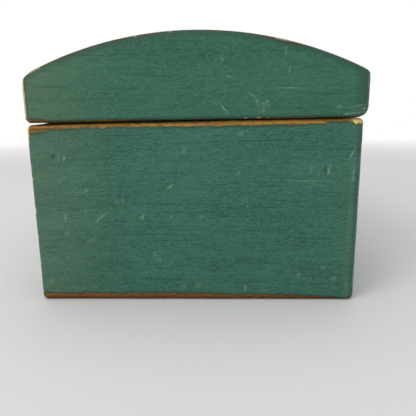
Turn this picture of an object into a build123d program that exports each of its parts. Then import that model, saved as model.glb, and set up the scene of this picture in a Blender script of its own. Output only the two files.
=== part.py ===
from build123d import *
import os

# A small hinged keepsake box with a low barrel-vaulted lid, in millimetres
# X runs along the box, Y from front to back, Z up from the table it stands on

# Base, outside
base_length = 190.0
base_depth = 130.0
base_height = 73.0

# Lid, outside
lid_end_overhang = 0.8
lid_front_overhang = 1.4
lid_side_height = 17.0
lid_rise = 15.5
seam_gap = 0.5

# Boards and their joints
base_board = 6.5
base_rebate = 3.25
bottom_thickness = 4.0
lid_board = 6.0
lid_rebate = 3.0
top_thickness = 4.0
glue_line = 0.15
edge_radius = 2.0

# Thin liner that stands inside the base and keys into the lid
liner_thickness = 2.5
liner_lip = 3.5
liner_ease = 0.7

# Butt hinges let into the rims at the back
hinge_length = 20.0
hinge_from_end = 20.0
axis_inset = 1.0
leaf_reach = 4.7
leaf_thickness = 0.7
leaf_gap = 0.3
leaf_corner = 0.8
pin_radius = 0.75
pin_clearance = 0.05
knuckle_gap = 0.2
knuckle_clearance = 0.3
gain_clearance = 0.1

# Countersunk wood screws, two to a leaf
screw_spacing = 12.0
screw_from_axis = 3.1
screw_length = 6.5
shank_radius = 0.8
head_radius = 1.5
screw_clearance = 0.05

# Places worked out from the sizes above
back_face = base_depth / 2
lid_front_face = -(base_depth / 2 + lid_front_overhang)
lid_length = base_length + 2 * lid_end_overhang
lid_depth = back_face - lid_front_face
lid_middle = (back_face + lid_front_face) / 2
lid_bottom = base_height + seam_gap
lid_height = lid_side_height + lid_rise
lid_shoulder = lid_bottom + lid_side_height
lid_crown = lid_bottom + lid_height
arch_radius = (lid_depth**2 / 4 + lid_rise**2) / (2 * lid_rise)
arch_centre_z = lid_crown - arch_radius
soffit_radius = arch_radius - top_thickness

base_lip = base_board - base_rebate
lid_lip = lid_board - lid_rebate
inner_length = base_length - 2 * base_board
inner_depth = base_depth - 2 * base_board

axis_y = back_face - axis_inset
axis_z = base_height + seam_gap / 2
knuckle_radius = pin_radius + pin_clearance + leaf_thickness
knuckle_length = (hinge_length - 2 * knuckle_gap) / 3
hinge_x = base_length / 2 - hinge_from_end - hinge_length / 2
screw_y = axis_y - screw_from_axis
leaf_face_drop = leaf_gap / 2
head_depth = head_radius - shank_radius

end_of_box = (Align.MIN, Align.CENTER, Align.MIN)
on_floor = (Align.CENTER, Align.CENTER, Align.MIN)
along_x = (0, 90, 0)

os.makedirs("parts", exist_ok=True)


def save(piece, name):
    """Label a finished piece and write it to its own file."""
    piece.part.label = name
    export_step(piece.part, f"parts/{name}.step")


# Outer forms of base and lid, with every edge rounded over
with BuildPart() as base_form:
    Box(base_length, base_depth, base_height, align=on_floor)
    fillet(base_form.edges(), radius=edge_radius)

with BuildPart() as lid_form:
    with BuildSketch(Plane.YZ.offset(-lid_length / 2)):
        with BuildLine():
            Polyline(
                (lid_front_face, lid_shoulder),
                (lid_front_face, lid_bottom),
                (back_face, lid_bottom),
                (back_face, lid_shoulder),
            )
            ThreePointArc(
                (back_face, lid_shoulder),
                (lid_middle, lid_crown),
                (lid_front_face, lid_shoulder),
            )
        make_face()
    extrude(amount=lid_length)
    fillet(lid_form.edges(), radius=edge_radius)


# Tools that cut the hinge seats into the two rims
with BuildPart() as base_hinge_seats:
    with Locations((-hinge_x, axis_y, axis_z), (hinge_x, axis_y, axis_z)):
        Cylinder(
            knuckle_radius + knuckle_clearance,
            hinge_length + 2 * knuckle_clearance,
            rotation=along_x,
        )
    leaf_floor = axis_z - leaf_face_drop - leaf_thickness
    with Locations((-hinge_x, axis_y, leaf_floor), (hinge_x, axis_y, leaf_floor)):
        Box(
            hinge_length + 2 * gain_clearance,
            leaf_reach + gain_clearance,
            leaf_thickness + seam_gap,
            align=(Align.CENTER, Align.MAX, Align.MIN),
        )
    with Locations((-hinge_x, screw_y, leaf_floor), (hinge_x, screw_y, leaf_floor)):
        with GridLocations(screw_spacing, 0, 2, 1):
            Cylinder(
                shank_radius + screw_clearance,
                screw_length,
                align=(Align.CENTER, Align.CENTER, Align.MAX),
            )

with BuildPart() as lid_hinge_seats:
    mirror(base_hinge_seats.part, about=Plane.XY.offset(axis_z))


# Base: two end boards rebated for the long boards and the bottom
with BuildPart() as base_end_left:
    with Locations((-base_length / 2, 0, 0)):
        Box(base_board, base_depth, base_height, align=end_of_box)
    add(base_form.part, mode=Mode.INTERSECT)
    with Locations((-base_length / 2 + base_lip, 0, 0)):
        with GridLocations(0, base_depth - base_board, 1, 2):
            Box(base_rebate, base_board, base_height, align=end_of_box, mode=Mode.SUBTRACT)
        Box(base_rebate, inner_depth, bottom_thickness, align=end_of_box, mode=Mode.SUBTRACT)

with BuildPart() as base_end_right:
    mirror(base_end_left.part, about=Plane.YZ)

long_board_length = base_length - 2 * base_lip
with BuildPart() as base_front:
    with Locations((0, -base_depth / 2, 0)):
        Box(
            long_board_length,
            base_board,
            base_height,
            align=(Align.CENTER, Align.MIN, Align.MIN),
        )
    add(base_form.part, mode=Mode.INTERSECT)
    with Locations((0, -base_depth / 2 + base_lip, 0)):
        Box(
            long_board_length,
            base_rebate,
            bottom_thickness,
            align=(Align.CENTER, Align.MIN, Align.MIN),
            mode=Mode.SUBTRACT,
        )

with BuildPart() as base_back:
    mirror(base_front.part, about=Plane.XZ)
    add(base_hinge_seats.part, mode=Mode.SUBTRACT)

with BuildPart() as base_bottom:
    Box(long_board_length, base_depth - 2 * base_lip, bottom_thickness, align=on_floor)


# Liner: long boards the full inner length, short boards between them
liner_height = base_height + liner_lip - bottom_thickness
with BuildPart() as liner_front:
    with Locations((0, -inner_depth / 2, bottom_thickness)):
        Box(
            inner_length,
            liner_thickness,
            liner_height,
            align=(Align.CENTER, Align.MIN, Align.MIN),
        )
    fillet(liner_front.edges().group_by(Axis.Z)[-1].filter_by(Axis.X), radius=liner_ease)

with BuildPart() as liner_back:
    mirror(liner_front.part, about=Plane.XZ)

with BuildPart() as liner_left:
    with Locations((-inner_length / 2, 0, bottom_thickness)):
        Box(
            liner_thickness,
            inner_depth - 2 * liner_thickness,
            liner_height,
            align=end_of_box,
        )
    fillet(liner_left.edges().group_by(Axis.Z)[-1].filter_by(Axis.Y), radius=liner_ease)

with BuildPart() as liner_right:
    mirror(liner_left.part, about=Plane.YZ)


# Lid: arched end boards with a curved rebate that hides the ends of the bent top
with BuildPart() as lid_end_left:
    with Locations((-lid_length / 2, lid_middle, lid_bottom)):
        Box(lid_board, lid_depth, lid_height, align=end_of_box)
    add(lid_form.part, mode=Mode.INTERSECT)
    with Locations((-lid_length / 2 + lid_lip, lid_middle, lid_bottom)):
        with GridLocations(0, lid_depth - lid_board, 1, 2):
            Box(lid_rebate, lid_board, lid_height, align=end_of_box, mode=Mode.SUBTRACT)
    with BuildSketch(Plane.YZ.offset(-lid_length / 2 + lid_lip)):
        with Locations((lid_middle, lid_bottom)):
            Rectangle(lid_depth, lid_height, align=(Align.CENTER, Align.MIN))
        with Locations((lid_middle, arch_centre_z)):
            Circle(soffit_radius, mode=Mode.SUBTRACT)
    extrude(amount=lid_rebate, mode=Mode.SUBTRACT)

with BuildPart() as lid_end_right:
    mirror(lid_end_left.part, about=Plane.YZ)

rail_length = lid_length - 2 * lid_lip
with BuildPart() as lid_front_rail:
    with Locations((0, lid_front_face, lid_bottom)):
        Box(rail_length, lid_board, lid_height, align=(Align.CENTER, Align.MIN, Align.MIN))
    add(lid_form.part, mode=Mode.INTERSECT)
    with Locations((0, lid_middle, arch_centre_z)):
        Cylinder(soffit_radius, lid_length, rotation=along_x, mode=Mode.INTERSECT)

with BuildPart() as lid_back_rail:
    mirror(lid_front_rail.part, about=Plane.XZ.offset(-lid_middle))
    add(lid_hinge_seats.part, mode=Mode.SUBTRACT)

# Bent top, laid in the curved rebates and over the rails, planed flush at the sides
with BuildPart() as lid_top:
    with BuildSketch(Plane.YZ.offset(-rail_length / 2)):
        with Locations((lid_middle, lid_bottom)):
            Rectangle(lid_depth, lid_height, align=(Align.CENTER, Align.MIN))
        with Locations((lid_middle, arch_centre_z)):
            Circle(soffit_radius + glue_line, mode=Mode.SUBTRACT)
    extrude(amount=rail_length)
    add(lid_form.part, mode=Mode.INTERSECT)


def make_leaf(centre_x, knuckle_places, notch_places, side):
    """One hinge leaf: a plate with rolled knuckles; side is -1 on the base, 1 on the lid."""
    face_z = axis_z + side * leaf_face_drop
    plate_align = Align.MAX if side < 0 else Align.MIN
    with BuildPart() as leaf:
        with Locations((centre_x, axis_y, face_z)):
            Box(
                hinge_length,
                leaf_reach,
                leaf_thickness,
                align=(Align.CENTER, Align.MAX, plate_align),
            )
        fillet(leaf.edges().filter_by(Axis.Z).group_by(Axis.Y)[0], radius=leaf_corner)
        with Locations(*[(centre_x + place, axis_y, face_z) for place in notch_places]):
            Box(
                knuckle_length + 2 * knuckle_gap,
                knuckle_radius + knuckle_clearance,
                2 * leaf_thickness,
                align=(Align.CENTER, Align.MAX, Align.CENTER),
                mode=Mode.SUBTRACT,
            )
        with Locations(*[(centre_x + place, axis_y, axis_z) for place in knuckle_places]):
            Cylinder(knuckle_radius, knuckle_length, rotation=along_x)
        with Locations((centre_x, axis_y, axis_z)):
            Cylinder(
                pin_radius + pin_clearance,
                hinge_length,
                rotation=along_x,
                mode=Mode.SUBTRACT,
            )
        with BuildSketch(Plane((centre_x, screw_y, face_z), z_dir=(0, 0, -side))) as holes:
            with GridLocations(screw_spacing, 0, 2, 1):
                Circle(shank_radius + screw_clearance)
        extrude(amount=-leaf_thickness, mode=Mode.SUBTRACT)
        extrude(
            offset(holes.sketch, head_depth, mode=Mode.PRIVATE),
            amount=-head_depth,
            taper=45,
            mode=Mode.SUBTRACT,
        )
    return leaf


def make_pin(centre_x):
    """Plain hinge pin, cut flush with the outer knuckles."""
    with BuildPart() as pin:
        with Locations((centre_x, axis_y, axis_z)):
            Cylinder(pin_radius, hinge_length, rotation=along_x)
    return pin


# One screw, head up at the origin, drawn as half a section and turned about its axis
with BuildPart() as screw:
    with BuildSketch(Plane.XZ):
        with BuildLine():
            Polyline(
                (0, 0),
                (head_radius, 0),
                (shank_radius, -head_depth),
                (shank_radius, -screw_length),
                (0, -screw_length),
                close=True,
            )
        make_face()
    revolve(axis=Axis.Z)

screw_places = [
    (centre + offset_x, screw_y)
    for centre in (-hinge_x, hinge_x)
    for offset_x in (-screw_spacing / 2, screw_spacing / 2)
]

with BuildPart() as base_hinge_screws:
    with Locations(*[(x, y, axis_z - leaf_face_drop) for x, y in screw_places]):
        add(screw.part)

with BuildPart() as lid_hinge_screws:
    with Locations(*[(x, y, axis_z + leaf_face_drop) for x, y in screw_places]):
        add(screw.part, rotation=(180, 0, 0))


# Hinges: outer knuckles on the base leaf, middle knuckle on the lid leaf
outer_places = (-knuckle_length - knuckle_gap, knuckle_length + knuckle_gap)
for hinge_name, centre_x in (("hinge_left", -hinge_x), ("hinge_right", hinge_x)):
    save(make_leaf(centre_x, outer_places, (0,), -1), f"{hinge_name}_base_leaf")
    save(make_leaf(centre_x, (0,), outer_places, 1), f"{hinge_name}_lid_leaf")
    save(make_pin(centre_x), f"{hinge_name}_pin")

save(base_hinge_screws, "base_hinge_screws")
save(lid_hinge_screws, "lid_hinge_screws")
save(base_end_left, "base_end_left")
save(base_end_right, "base_end_right")
save(base_front, "base_front")
save(base_back, "base_back")
save(base_bottom, "base_bottom")
save(liner_front, "liner_front")
save(liner_back, "liner_back")
save(liner_left, "liner_left")
save(liner_right, "liner_right")
save(lid_end_left, "lid_end_left")
save(lid_end_right, "lid_end_right")
save(lid_front_rail, "lid_front_rail")
save(lid_back_rail, "lid_back_rail")
save(lid_top, "lid_top")
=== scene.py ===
import math

import bmesh
import bpy
import numpy as np
from bpy.props import FloatProperty, FloatVectorProperty, IntProperty, PointerProperty
from mathutils import Matrix, Vector, noise


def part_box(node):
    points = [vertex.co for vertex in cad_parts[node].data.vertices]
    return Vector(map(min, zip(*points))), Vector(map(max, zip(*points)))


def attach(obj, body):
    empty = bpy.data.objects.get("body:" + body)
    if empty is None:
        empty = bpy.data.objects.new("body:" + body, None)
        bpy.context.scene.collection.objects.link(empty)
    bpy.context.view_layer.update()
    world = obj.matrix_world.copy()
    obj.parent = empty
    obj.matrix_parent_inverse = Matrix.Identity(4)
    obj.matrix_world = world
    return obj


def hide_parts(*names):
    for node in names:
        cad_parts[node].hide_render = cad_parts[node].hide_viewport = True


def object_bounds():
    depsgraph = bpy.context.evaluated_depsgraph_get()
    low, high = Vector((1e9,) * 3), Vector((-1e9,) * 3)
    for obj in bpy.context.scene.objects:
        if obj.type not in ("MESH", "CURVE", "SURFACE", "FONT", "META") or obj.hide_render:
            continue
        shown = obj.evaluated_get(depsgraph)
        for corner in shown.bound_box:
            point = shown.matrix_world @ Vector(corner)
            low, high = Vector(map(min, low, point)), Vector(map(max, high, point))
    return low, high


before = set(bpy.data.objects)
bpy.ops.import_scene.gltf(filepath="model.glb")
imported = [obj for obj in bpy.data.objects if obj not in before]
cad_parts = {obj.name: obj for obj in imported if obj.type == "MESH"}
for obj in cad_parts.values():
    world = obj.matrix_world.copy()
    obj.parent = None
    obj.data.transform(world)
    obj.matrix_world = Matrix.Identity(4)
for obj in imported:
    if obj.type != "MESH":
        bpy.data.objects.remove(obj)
cad_low, cad_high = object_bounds()

bl_info = {
    "name": "Trinket Box",
    "version": (1, 0, 0),
    "blender": (4, 5, 0),
    "location": "View3D > Sidebar > Trinket Box",
    "description": "Dresses the packed box with worn painted boards, a bare liner, hinges and screws",
    "category": "Object",
}

# X runs along the box, Y from front to back and Z up from the table, all in metres
MM = 0.001
# A length beyond the whole box, and one too small to matter
FAR = 1.0
TINY = 1e-7


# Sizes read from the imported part, or worked out as the part's source does
def node_low(name):
    """Lowest corner of a CAD node."""
    return np.array(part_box(name)[0])


def node_high(name):
    """Highest corner of a CAD node."""
    return np.array(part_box(name)[1])


BASE_LOW = node_low("base_end_left")
BASE_HIGH = node_high("base_end_right")
BASE_BOARD = node_high("base_end_left")[0] - BASE_LOW[0]
BASE_LIP = node_low("base_front")[0] - BASE_LOW[0]
BOTTOM_THICKNESS = node_high("base_bottom")[2] - BASE_LOW[2]

LID_LOW = node_low("lid_end_left")
LID_HIGH = node_high("lid_end_right")
LID_BOARD = node_high("lid_end_left")[0] - LID_LOW[0]
LID_LIP = node_low("lid_front_rail")[0] - LID_LOW[0]
LID_MIDDLE = (LID_LOW[1] + LID_HIGH[1]) / 2
LID_SIDE_HEIGHT = 17.0 * MM
TOP_THICKNESS = 4.0 * MM
GLUE_LINE = 0.15 * MM
LID_RISE = LID_HIGH[2] - LID_LOW[2] - LID_SIDE_HEIGHT
ARCH_RADIUS = ((LID_HIGH[1] - LID_LOW[1]) ** 2 / 4 + LID_RISE**2) / (2 * LID_RISE)
ARCH_CENTRE = LID_HIGH[2] - ARCH_RADIUS
SOFFIT_CROWN = LID_HIGH[2] - TOP_THICKNESS

HINGE_X = (node_low("hinge_right_pin")[0] + node_high("hinge_right_pin")[0]) / 2
HINGE_LENGTH = node_high("hinge_right_pin")[0] - node_low("hinge_right_pin")[0]
AXIS_Y = (node_low("hinge_right_pin")[1] + node_high("hinge_right_pin")[1]) / 2
AXIS_Z = (node_low("hinge_right_pin")[2] + node_high("hinge_right_pin")[2]) / 2
LEAF_EDGE = node_low("hinge_right_base_leaf")[1]
LEAF_THICKNESS = 0.7 * MM
LEAF_GAP = 0.3 * MM
PIN_RADIUS = 0.75 * MM
PIN_CLEARANCE = 0.05 * MM
KNUCKLE_CLEARANCE = 0.3 * MM
GROOVE_RADIUS = PIN_RADIUS + PIN_CLEARANCE + LEAF_THICKNESS + KNUCKLE_CLEARANCE
GROOVE_SIDES = 48
SEAT_EASE = 0.1 * MM
# Share of the leaves' gap by which a seat's cutter passes the hinge's axis
SEAT_OVERCUT = 1.2

SCREW_SPACING = 12.0 * MM
HEAD_RADIUS = 1.5 * MM
SHANK_RADIUS = 0.8 * MM
SCREW_LENGTH = 6.5 * MM
SLOT_WIDTH = 0.45 * MM
SLOT_DEPTH = 0.35 * MM

EDGE_RADIUS = 2.0 * MM
LINER_EASE = 0.7 * MM

# Share of wear at which the paint is as photographed
SHOWN_WEAR = 0.5


class BoxSizes(bpy.types.PropertyGroup):
    """Sizes of the detail that is worked into the boards."""

    fineness: FloatProperty(
        name="Fineness",
        description="Size of the mesh squares on the boards",
        default=1.0 * MM,
        min=0.5 * MM,
        max=6.0 * MM,
        subtype="DISTANCE",
        unit="LENGTH",
    )
    edge_steps: IntProperty(
        name="Edge Steps",
        description="Mesh steps over half of a rounded edge",
        default=5,
        min=2,
        max=8,
    )
    edge_waver: FloatProperty(
        name="Edge Waver",
        description="How far the sanded edges are taken back unevenly",
        default=0.22 * MM,
        min=0.0,
        max=0.6 * MM,
        subtype="DISTANCE",
        unit="LENGTH",
    )
    joint_groove: FloatProperty(
        name="Joint Groove",
        description="Depth of the hollow that shows through the paint along a joint",
        default=0.12 * MM,
        min=0.0,
        max=0.5 * MM,
        subtype="DISTANCE",
        unit="LENGTH",
    )
    slot_width: FloatProperty(
        name="Screw Slot Width",
        description="Width of the slot in a screw's head",
        default=SLOT_WIDTH,
        min=0.2 * MM,
        max=0.8 * MM,
        subtype="DISTANCE",
        unit="LENGTH",
    )


class BoxFinish(bpy.types.PropertyGroup):
    """Colours and wear of the box's surfaces."""

    paint: FloatVectorProperty(
        name="Paint",
        description="Green of the outside paint",
        default=(0.004, 0.070, 0.040),
        min=0.0,
        max=1.0,
        size=3,
        subtype="COLOR",
    )
    chalky_paint: FloatVectorProperty(
        name="Chalky Paint",
        description="Paler green where the paint has bloomed and been rubbed",
        default=(0.062, 0.196, 0.135),
        min=0.0,
        max=1.0,
        size=3,
        subtype="COLOR",
    )
    # A greyer green, mixed in towards the back and along a line near the front
    grey_green_paint: FloatVectorProperty(
        name="Faded Paint",
        description="Greyer green towards the back, which has stood in the light",
        default=(0.15, 0.21, 0.13),
        min=0.0,
        max=1.0,
        size=3,
        subtype="COLOR",
    )
    stained_wood: FloatVectorProperty(
        name="Stained Wood",
        description="Golden brown of the stained wood where the paint is worn off",
        default=(0.350, 0.185, 0.030),
        min=0.0,
        max=1.0,
        size=3,
        subtype="COLOR",
    )
    bare_wood: FloatVectorProperty(
        name="Bare Wood",
        description="Colour of the liner and the bottom board",
        default=(0.47, 0.29, 0.13),
        min=0.0,
        max=1.0,
        size=3,
        subtype="COLOR",
    )
    brass: FloatVectorProperty(
        name="Brass",
        description="Colour of the hinges and screws",
        default=(0.72, 0.52, 0.22),
        min=0.0,
        max=1.0,
        size=3,
        subtype="COLOR",
    )
    wear: FloatProperty(
        name="Wear",
        description="How far the paint is rubbed off the edges; a half is as photographed",
        default=SHOWN_WEAR,
        min=0.0,
        max=1.0,
        subtype="FACTOR",
    )


class StageLook(bpy.types.PropertyGroup):
    """The plain studio around the box."""

    floor: FloatVectorProperty(
        name="Floor",
        description="Colour of the floor",
        default=(0.80, 0.79, 0.79),
        min=0.0,
        max=1.0,
        size=3,
        subtype="COLOR",
    )
    sky: FloatProperty(
        name="Sky",
        description="Strength of the even light from all round",
        default=0.55,
        min=0.0,
        max=2.0,
    )
    key: FloatProperty(
        name="Key Lamp",
        description="Power of the large lamp at the picture's upper left",
        default=5.0,
        min=0.0,
        max=50.0,
        subtype="POWER",
        unit="POWER",
    )
    fade_start: FloatProperty(
        name="Fade Start",
        description="Distance at which the floor begins to fade into the backdrop",
        default=0.25,
        min=0.0,
        max=2.0,
        subtype="DISTANCE",
        unit="LENGTH",
    )
    fade_end: FloatProperty(
        name="Fade End",
        description="Distance at which the floor is as white as the backdrop",
        default=1.6,
        min=0.1,
        max=3.0,
        subtype="DISTANCE",
        unit="LENGTH",
    )
    top: FloatProperty(
        name="Top Lamp",
        description="Power of the large lamp above",
        default=3.0,
        min=0.0,
        max=50.0,
        subtype="POWER",
        unit="POWER",
    )
    fill: FloatProperty(
        name="Fill Lamp",
        description="Power of the large lamp at the picture's right",
        default=0.5,
        min=0.0,
        max=50.0,
        subtype="POWER",
        unit="POWER",
    )


# How near a lattice corner's greatest share must be to 1 to lie on the surface
SURFACE_SLACK = 1e-4


# Outer forms, as lattices whose corners are laid onto rounded edges
def arch_height(radius, y):
    """Height of a circle about the vault's centre, at a place from front to back."""
    return ARCH_CENTRE + np.sqrt(radius**2 - (y - LID_MIDDLE) ** 2)


class RoundedBox:
    """A box with every edge rounded."""

    def __init__(self, low, high, radius):
        self.low = np.array(low, float)
        self.high = np.array(high, float)
        self.radius = radius

    def core(self, lattice):
        """The nearest point from which the rounded surface swells, and the outward directions there."""
        core = np.clip(lattice, self.low + self.radius, self.high - self.radius)
        directions = np.zeros((len(lattice), 3, 3))
        for axis in range(3):
            directions[:, axis, axis] = np.sign(lattice[:, axis] - core[:, axis])
        return core, directions

    def place(self, lattice):
        """Lattice corners laid in place, with the way out and the nearness to an edge of each."""
        core, directions = self.core(lattice)
        clipped = np.clip(lattice, self.low + self.radius, self.high - self.radius)
        share = np.abs(lattice - clipped) / self.radius
        lean = (directions * share[:, :, None]).sum(axis=1)
        outward = lean / np.maximum(np.linalg.norm(lean, axis=1), TINY)[:, None]
        ranked = np.sort(share, axis=1)
        points = core + outward * (ranked[:, 2] * self.radius)[:, None]
        on_surface = ranked[:, 2] > 1 - SURFACE_SLACK
        return points, outward, np.where(on_surface, ranked[:, 1], 0.0), on_surface

    def depths(self, points):
        """Depth of each point under each of the six faces."""
        return {
            "left": points[:, 0] - self.low[0],
            "right": self.high[0] - points[:, 0],
            "front": points[:, 1] - self.low[1],
            "back": self.high[1] - points[:, 1],
            "bottom": points[:, 2] - self.low[2],
            "top": self.high[2] - points[:, 2],
        }

    def outward(self, points):
        """The way out of each of the six faces."""
        ways = {"left": (-1, 0, 0), "right": (1, 0, 0), "front": (0, -1, 0), "back": (0, 1, 0)}
        ways |= {"bottom": (0, 0, -1), "top": (0, 0, 1)}
        return {face: np.array([way], float) for face, way in ways.items()}


class VaultedBox(RoundedBox):
    """The lid's outer form. Its lattice gives heights as they are at the crown."""

    def core(self, lattice):
        core, directions = super().core(lattice)
        floor = self.low[2] + self.radius
        in_top = lattice[:, 2] > self.high[2] - self.radius - TINY
        y = np.where(in_top, core[:, 1], lattice[:, 1])

        # Heights below the top board are squeezed under its arch, and those within it follow circles
        crown = core[:, 2]
        share = (crown - floor) / (SOFFIT_CROWN - floor)
        under = floor + share * (arch_height(SOFFIT_CROWN - ARCH_CENTRE, y) - floor)
        core[:, 2] = np.where(crown < SOFFIT_CROWN, under, arch_height(crown - ARCH_CENTRE, y))

        # The way out of the top runs from the arch's centre
        radial = core - [0, LID_MIDDLE, ARCH_CENTRE]
        radial[:, 0] = 0
        radial /= np.linalg.norm(radial, axis=1)[:, None]
        directions[in_top, 2] = radial[in_top]
        return core, directions

    def depths(self, points):
        depths = super().depths(points)
        from_centre = np.hypot(points[:, 1] - LID_MIDDLE, points[:, 2] - ARCH_CENTRE)
        depths["top"] = ARCH_RADIUS - from_centre
        return depths

    def outward(self, points):
        ways = super().outward(points)
        radial = points - [0, LID_MIDDLE, ARCH_CENTRE]
        radial[:, 0] = 0
        ways["top"] = radial / np.linalg.norm(radial, axis=1)[:, None]
        return ways


BASE_FORM = RoundedBox(BASE_LOW, BASE_HIGH, EDGE_RADIUS)
LID_FORM = VaultedBox(LID_LOW, LID_HIGH, EDGE_RADIUS)


# The lattice line just past a rounding stands this many radii in from the face
SHOULDER = 1.2
# Share of a square by which the last square in a row may be larger
SQUARE_SLACK = 0.01


def lattice_lines(low, high, form_low, form_high, radius, joints, sizes):
    """Places of the lattice lines along one axis: close over the rounded edges, even between them."""
    breaks = {low, high}
    for step in range(sizes.edge_steps + 1):
        into = radius * (1 - math.tan(math.pi / 4 * step / sizes.edge_steps))
        breaks |= {form_low + into, form_high - into}
    breaks |= {form_low + SHOULDER * radius, form_high - SHOULDER * radius}
    breaks |= set(joints)
    stops = sorted({round(b, 6) for b in breaks if low - TINY <= b <= high + TINY})
    places = []
    for start, stop in zip(stops, stops[1:]):
        parts = max(1, math.ceil((stop - start) / sizes.fineness - SQUARE_SLACK))
        places.extend(np.linspace(start, stop, parts, endpoint=False))
    return np.array([*places, stops[-1]])


def lattice_skin(filled):
    """Corners of the squares between filled and empty cells, turned to face outwards."""
    corner_shape = np.array(filled.shape) + 1
    padded = np.pad(filled, 1)
    inner = slice(1, -1)
    quads = []
    for axis in range(3):
        before = [inner] * 3
        after = [inner] * 3
        before[axis] = slice(0, -1)
        after[axis] = slice(1, None)
        behind = padded[tuple(before)]
        ahead = padded[tuple(after)]
        first = np.eye(3, dtype=int)[(axis + 1) % 3]
        second = np.eye(3, dtype=int)[(axis + 2) % 3]
        for mask, order in ((behind & ~ahead, (0, 1, 2, 3)), (ahead & ~behind, (3, 2, 1, 0))):
            start = np.argwhere(mask)
            corners = (start, start + first, start + first + second, start + second)
            numbers = [np.ravel_multi_index(tuple(c.T), corner_shape) for c in corners]
            quads.append(np.stack([numbers[i] for i in order], axis=1))
    return np.concatenate(quads)


def board_mesh(name, form, low, high, cuts, joints, sizes):
    """A board cut from its outer form: a box of lattice cells less its rebates."""
    lines = [
        lattice_lines(
            low[axis],
            high[axis],
            form.low[axis],
            form.high[axis],
            form.radius,
            [c for cut in cuts for c in (cut[0][axis], cut[1][axis])] + list(joints[axis]),
            sizes,
        )
        for axis in range(3)
    ]
    middles = [(line[1:] + line[:-1]) / 2 for line in lines]
    filled = np.ones([len(m) for m in middles], bool)
    for cut_low, cut_high in cuts:
        inside = [(m > a) & (m < b) for m, a, b in zip(middles, cut_low, cut_high)]
        filled[np.ix_(*inside)] = False
    numbers, faces = np.unique(lattice_skin(filled), return_inverse=True)
    corners = np.unravel_index(numbers, [len(line) for line in lines])
    lattice = np.stack([line[c] for line, c in zip(lines, corners)], axis=1)
    points, outward, nearness, on_surface = form.place(lattice)
    points = sanded(points, outward, nearness, sizes.edge_waver)
    points = grooved(points, outward, on_surface, joints, sizes.joint_groove)
    mesh = bpy.data.meshes.new(name)
    mesh.from_pydata(points.tolist(), [], faces.reshape(-1, 4).tolist())
    mesh.update()
    return mesh


# Long edges that hands have rubbed rounder near an end: two faces, end, radius and reach in millimetres
BASE_SOFT_CORNERS = (
    ("front", "bottom", -95.0, 3.6, 9.0),
    ("back", "top", -95.0, 2.4, 8.0),
    ("back", "bottom", 95.0, 3.0, 8.0),
    ("front", "top", 95.0, 2.8, 7.0),
)
LID_SOFT_CORNERS = (
    ("back", "top", -95.8, 5.0, 12.0),
    ("front", "top", -95.8, 2.6, 8.0),
    ("front", "bottom", -95.8, 5.4, 12.0),
    ("front", "bottom", 95.8, 3.2, 9.0),
    ("front", "top", 95.8, 3.4, 9.0),
)


def rounded_off(form, points, corners):
    """Points moved in to the larger rounding that the long edges have near some of their ends."""
    points = points.copy()
    for face_a, face_b, end, radius, reach in corners:
        depths = form.depths(points)
        outward = form.outward(points)
        a = np.maximum(radius * MM - depths[face_a], 0)
        b = np.maximum(radius * MM - depths[face_b], 0)
        over = np.maximum(np.hypot(a, b) - radius * MM, 0) * (a > 0) * (b > 0)
        fall = np.exp(-(((points[:, 0] / MM - end) / reach) ** 2))
        way = outward[face_a] * a[:, None] + outward[face_b] * b[:, None]
        way /= np.maximum(np.linalg.norm(way, axis=1), TINY)[:, None]
        points -= way * (over * fall)[:, None]
    return points


# Lengths of the sanding's waves, and the shares of the amount that is taken off
LONG_WAVE = 14 * MM
SHORT_WAVE = 3.5 * MM
EVEN_SHARE = 0.45
LONG_WAVE_SHARE = 0.7
SHORT_WAVE_SHARE = 0.35
# How quickly the sanding sets in from the flat towards the edge
SANDING_ONSET = 1.6


def sanded(points, outward, nearness, amount):
    """Rounded edges taken back unevenly, as hand sanding leaves them."""
    taken = np.zeros(len(points))
    for i in np.flatnonzero(nearness > 0):
        p = Vector(points[i])
        coarse = noise.noise(p / LONG_WAVE)
        fine = noise.noise(p / SHORT_WAVE)
        taken[i] = amount * max(0.0, EVEN_SHARE + LONG_WAVE_SHARE * coarse + SHORT_WAVE_SHARE * fine)
    return points - outward * (taken * np.minimum(nearness * SANDING_ONSET, 1.0))[:, None]


# Points this near to a joint lie on it
JOINT_HALF_WIDTH = 0.02 * MM


def grooved(points, outward, on_surface, joints, depth):
    """A slight hollow along the joints between boards."""
    taken = np.zeros(len(points))
    for axis in range(3):
        for joint in joints[axis]:
            taken = np.maximum(taken, np.abs(points[:, axis] - joint) < JOINT_HALF_WIDTH)
    return points - outward * (taken * on_surface * depth)[:, None]


# How many steps a ripple has in all, half of them to each side of nought
RIPPLE_KNOTS = 1024


def ripple(place, seed, step, amount):
    """Smooth random wavering along an edge: a new value at every step, up to amount either way."""
    knots = np.random.default_rng(seed).uniform(-amount, amount, RIPPLE_KNOTS)
    at = place / step + RIPPLE_KNOTS // 2
    before = np.floor(at).astype(int)
    share = at - before
    share = share * share * (3 - 2 * share)
    return knots[before] * (1 - share) + knots[before + 1] * share


def across_edge(depth_a, depth_b):
    """Place across a rounded edge: 0 in its middle, less towards face a and more towards face b.

    The second value is how far a point has left the two faces for a third one.
    """
    a = EDGE_RADIUS - depth_a
    b = EDGE_RADIUS - depth_b
    half = EDGE_RADIUS * math.pi / 4
    place = EDGE_RADIUS * np.arctan2(np.maximum(b, 0), np.maximum(a, TINY)) - half
    place = np.where(b < 0, b - half, place)
    place = np.where(a < 0, half - a, place)
    astray = np.where(b < 0, depth_a, 0) + np.where(a < 0, depth_b, 0)
    return place, np.where((a < 0) & (b < 0), FAR, astray)


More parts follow.
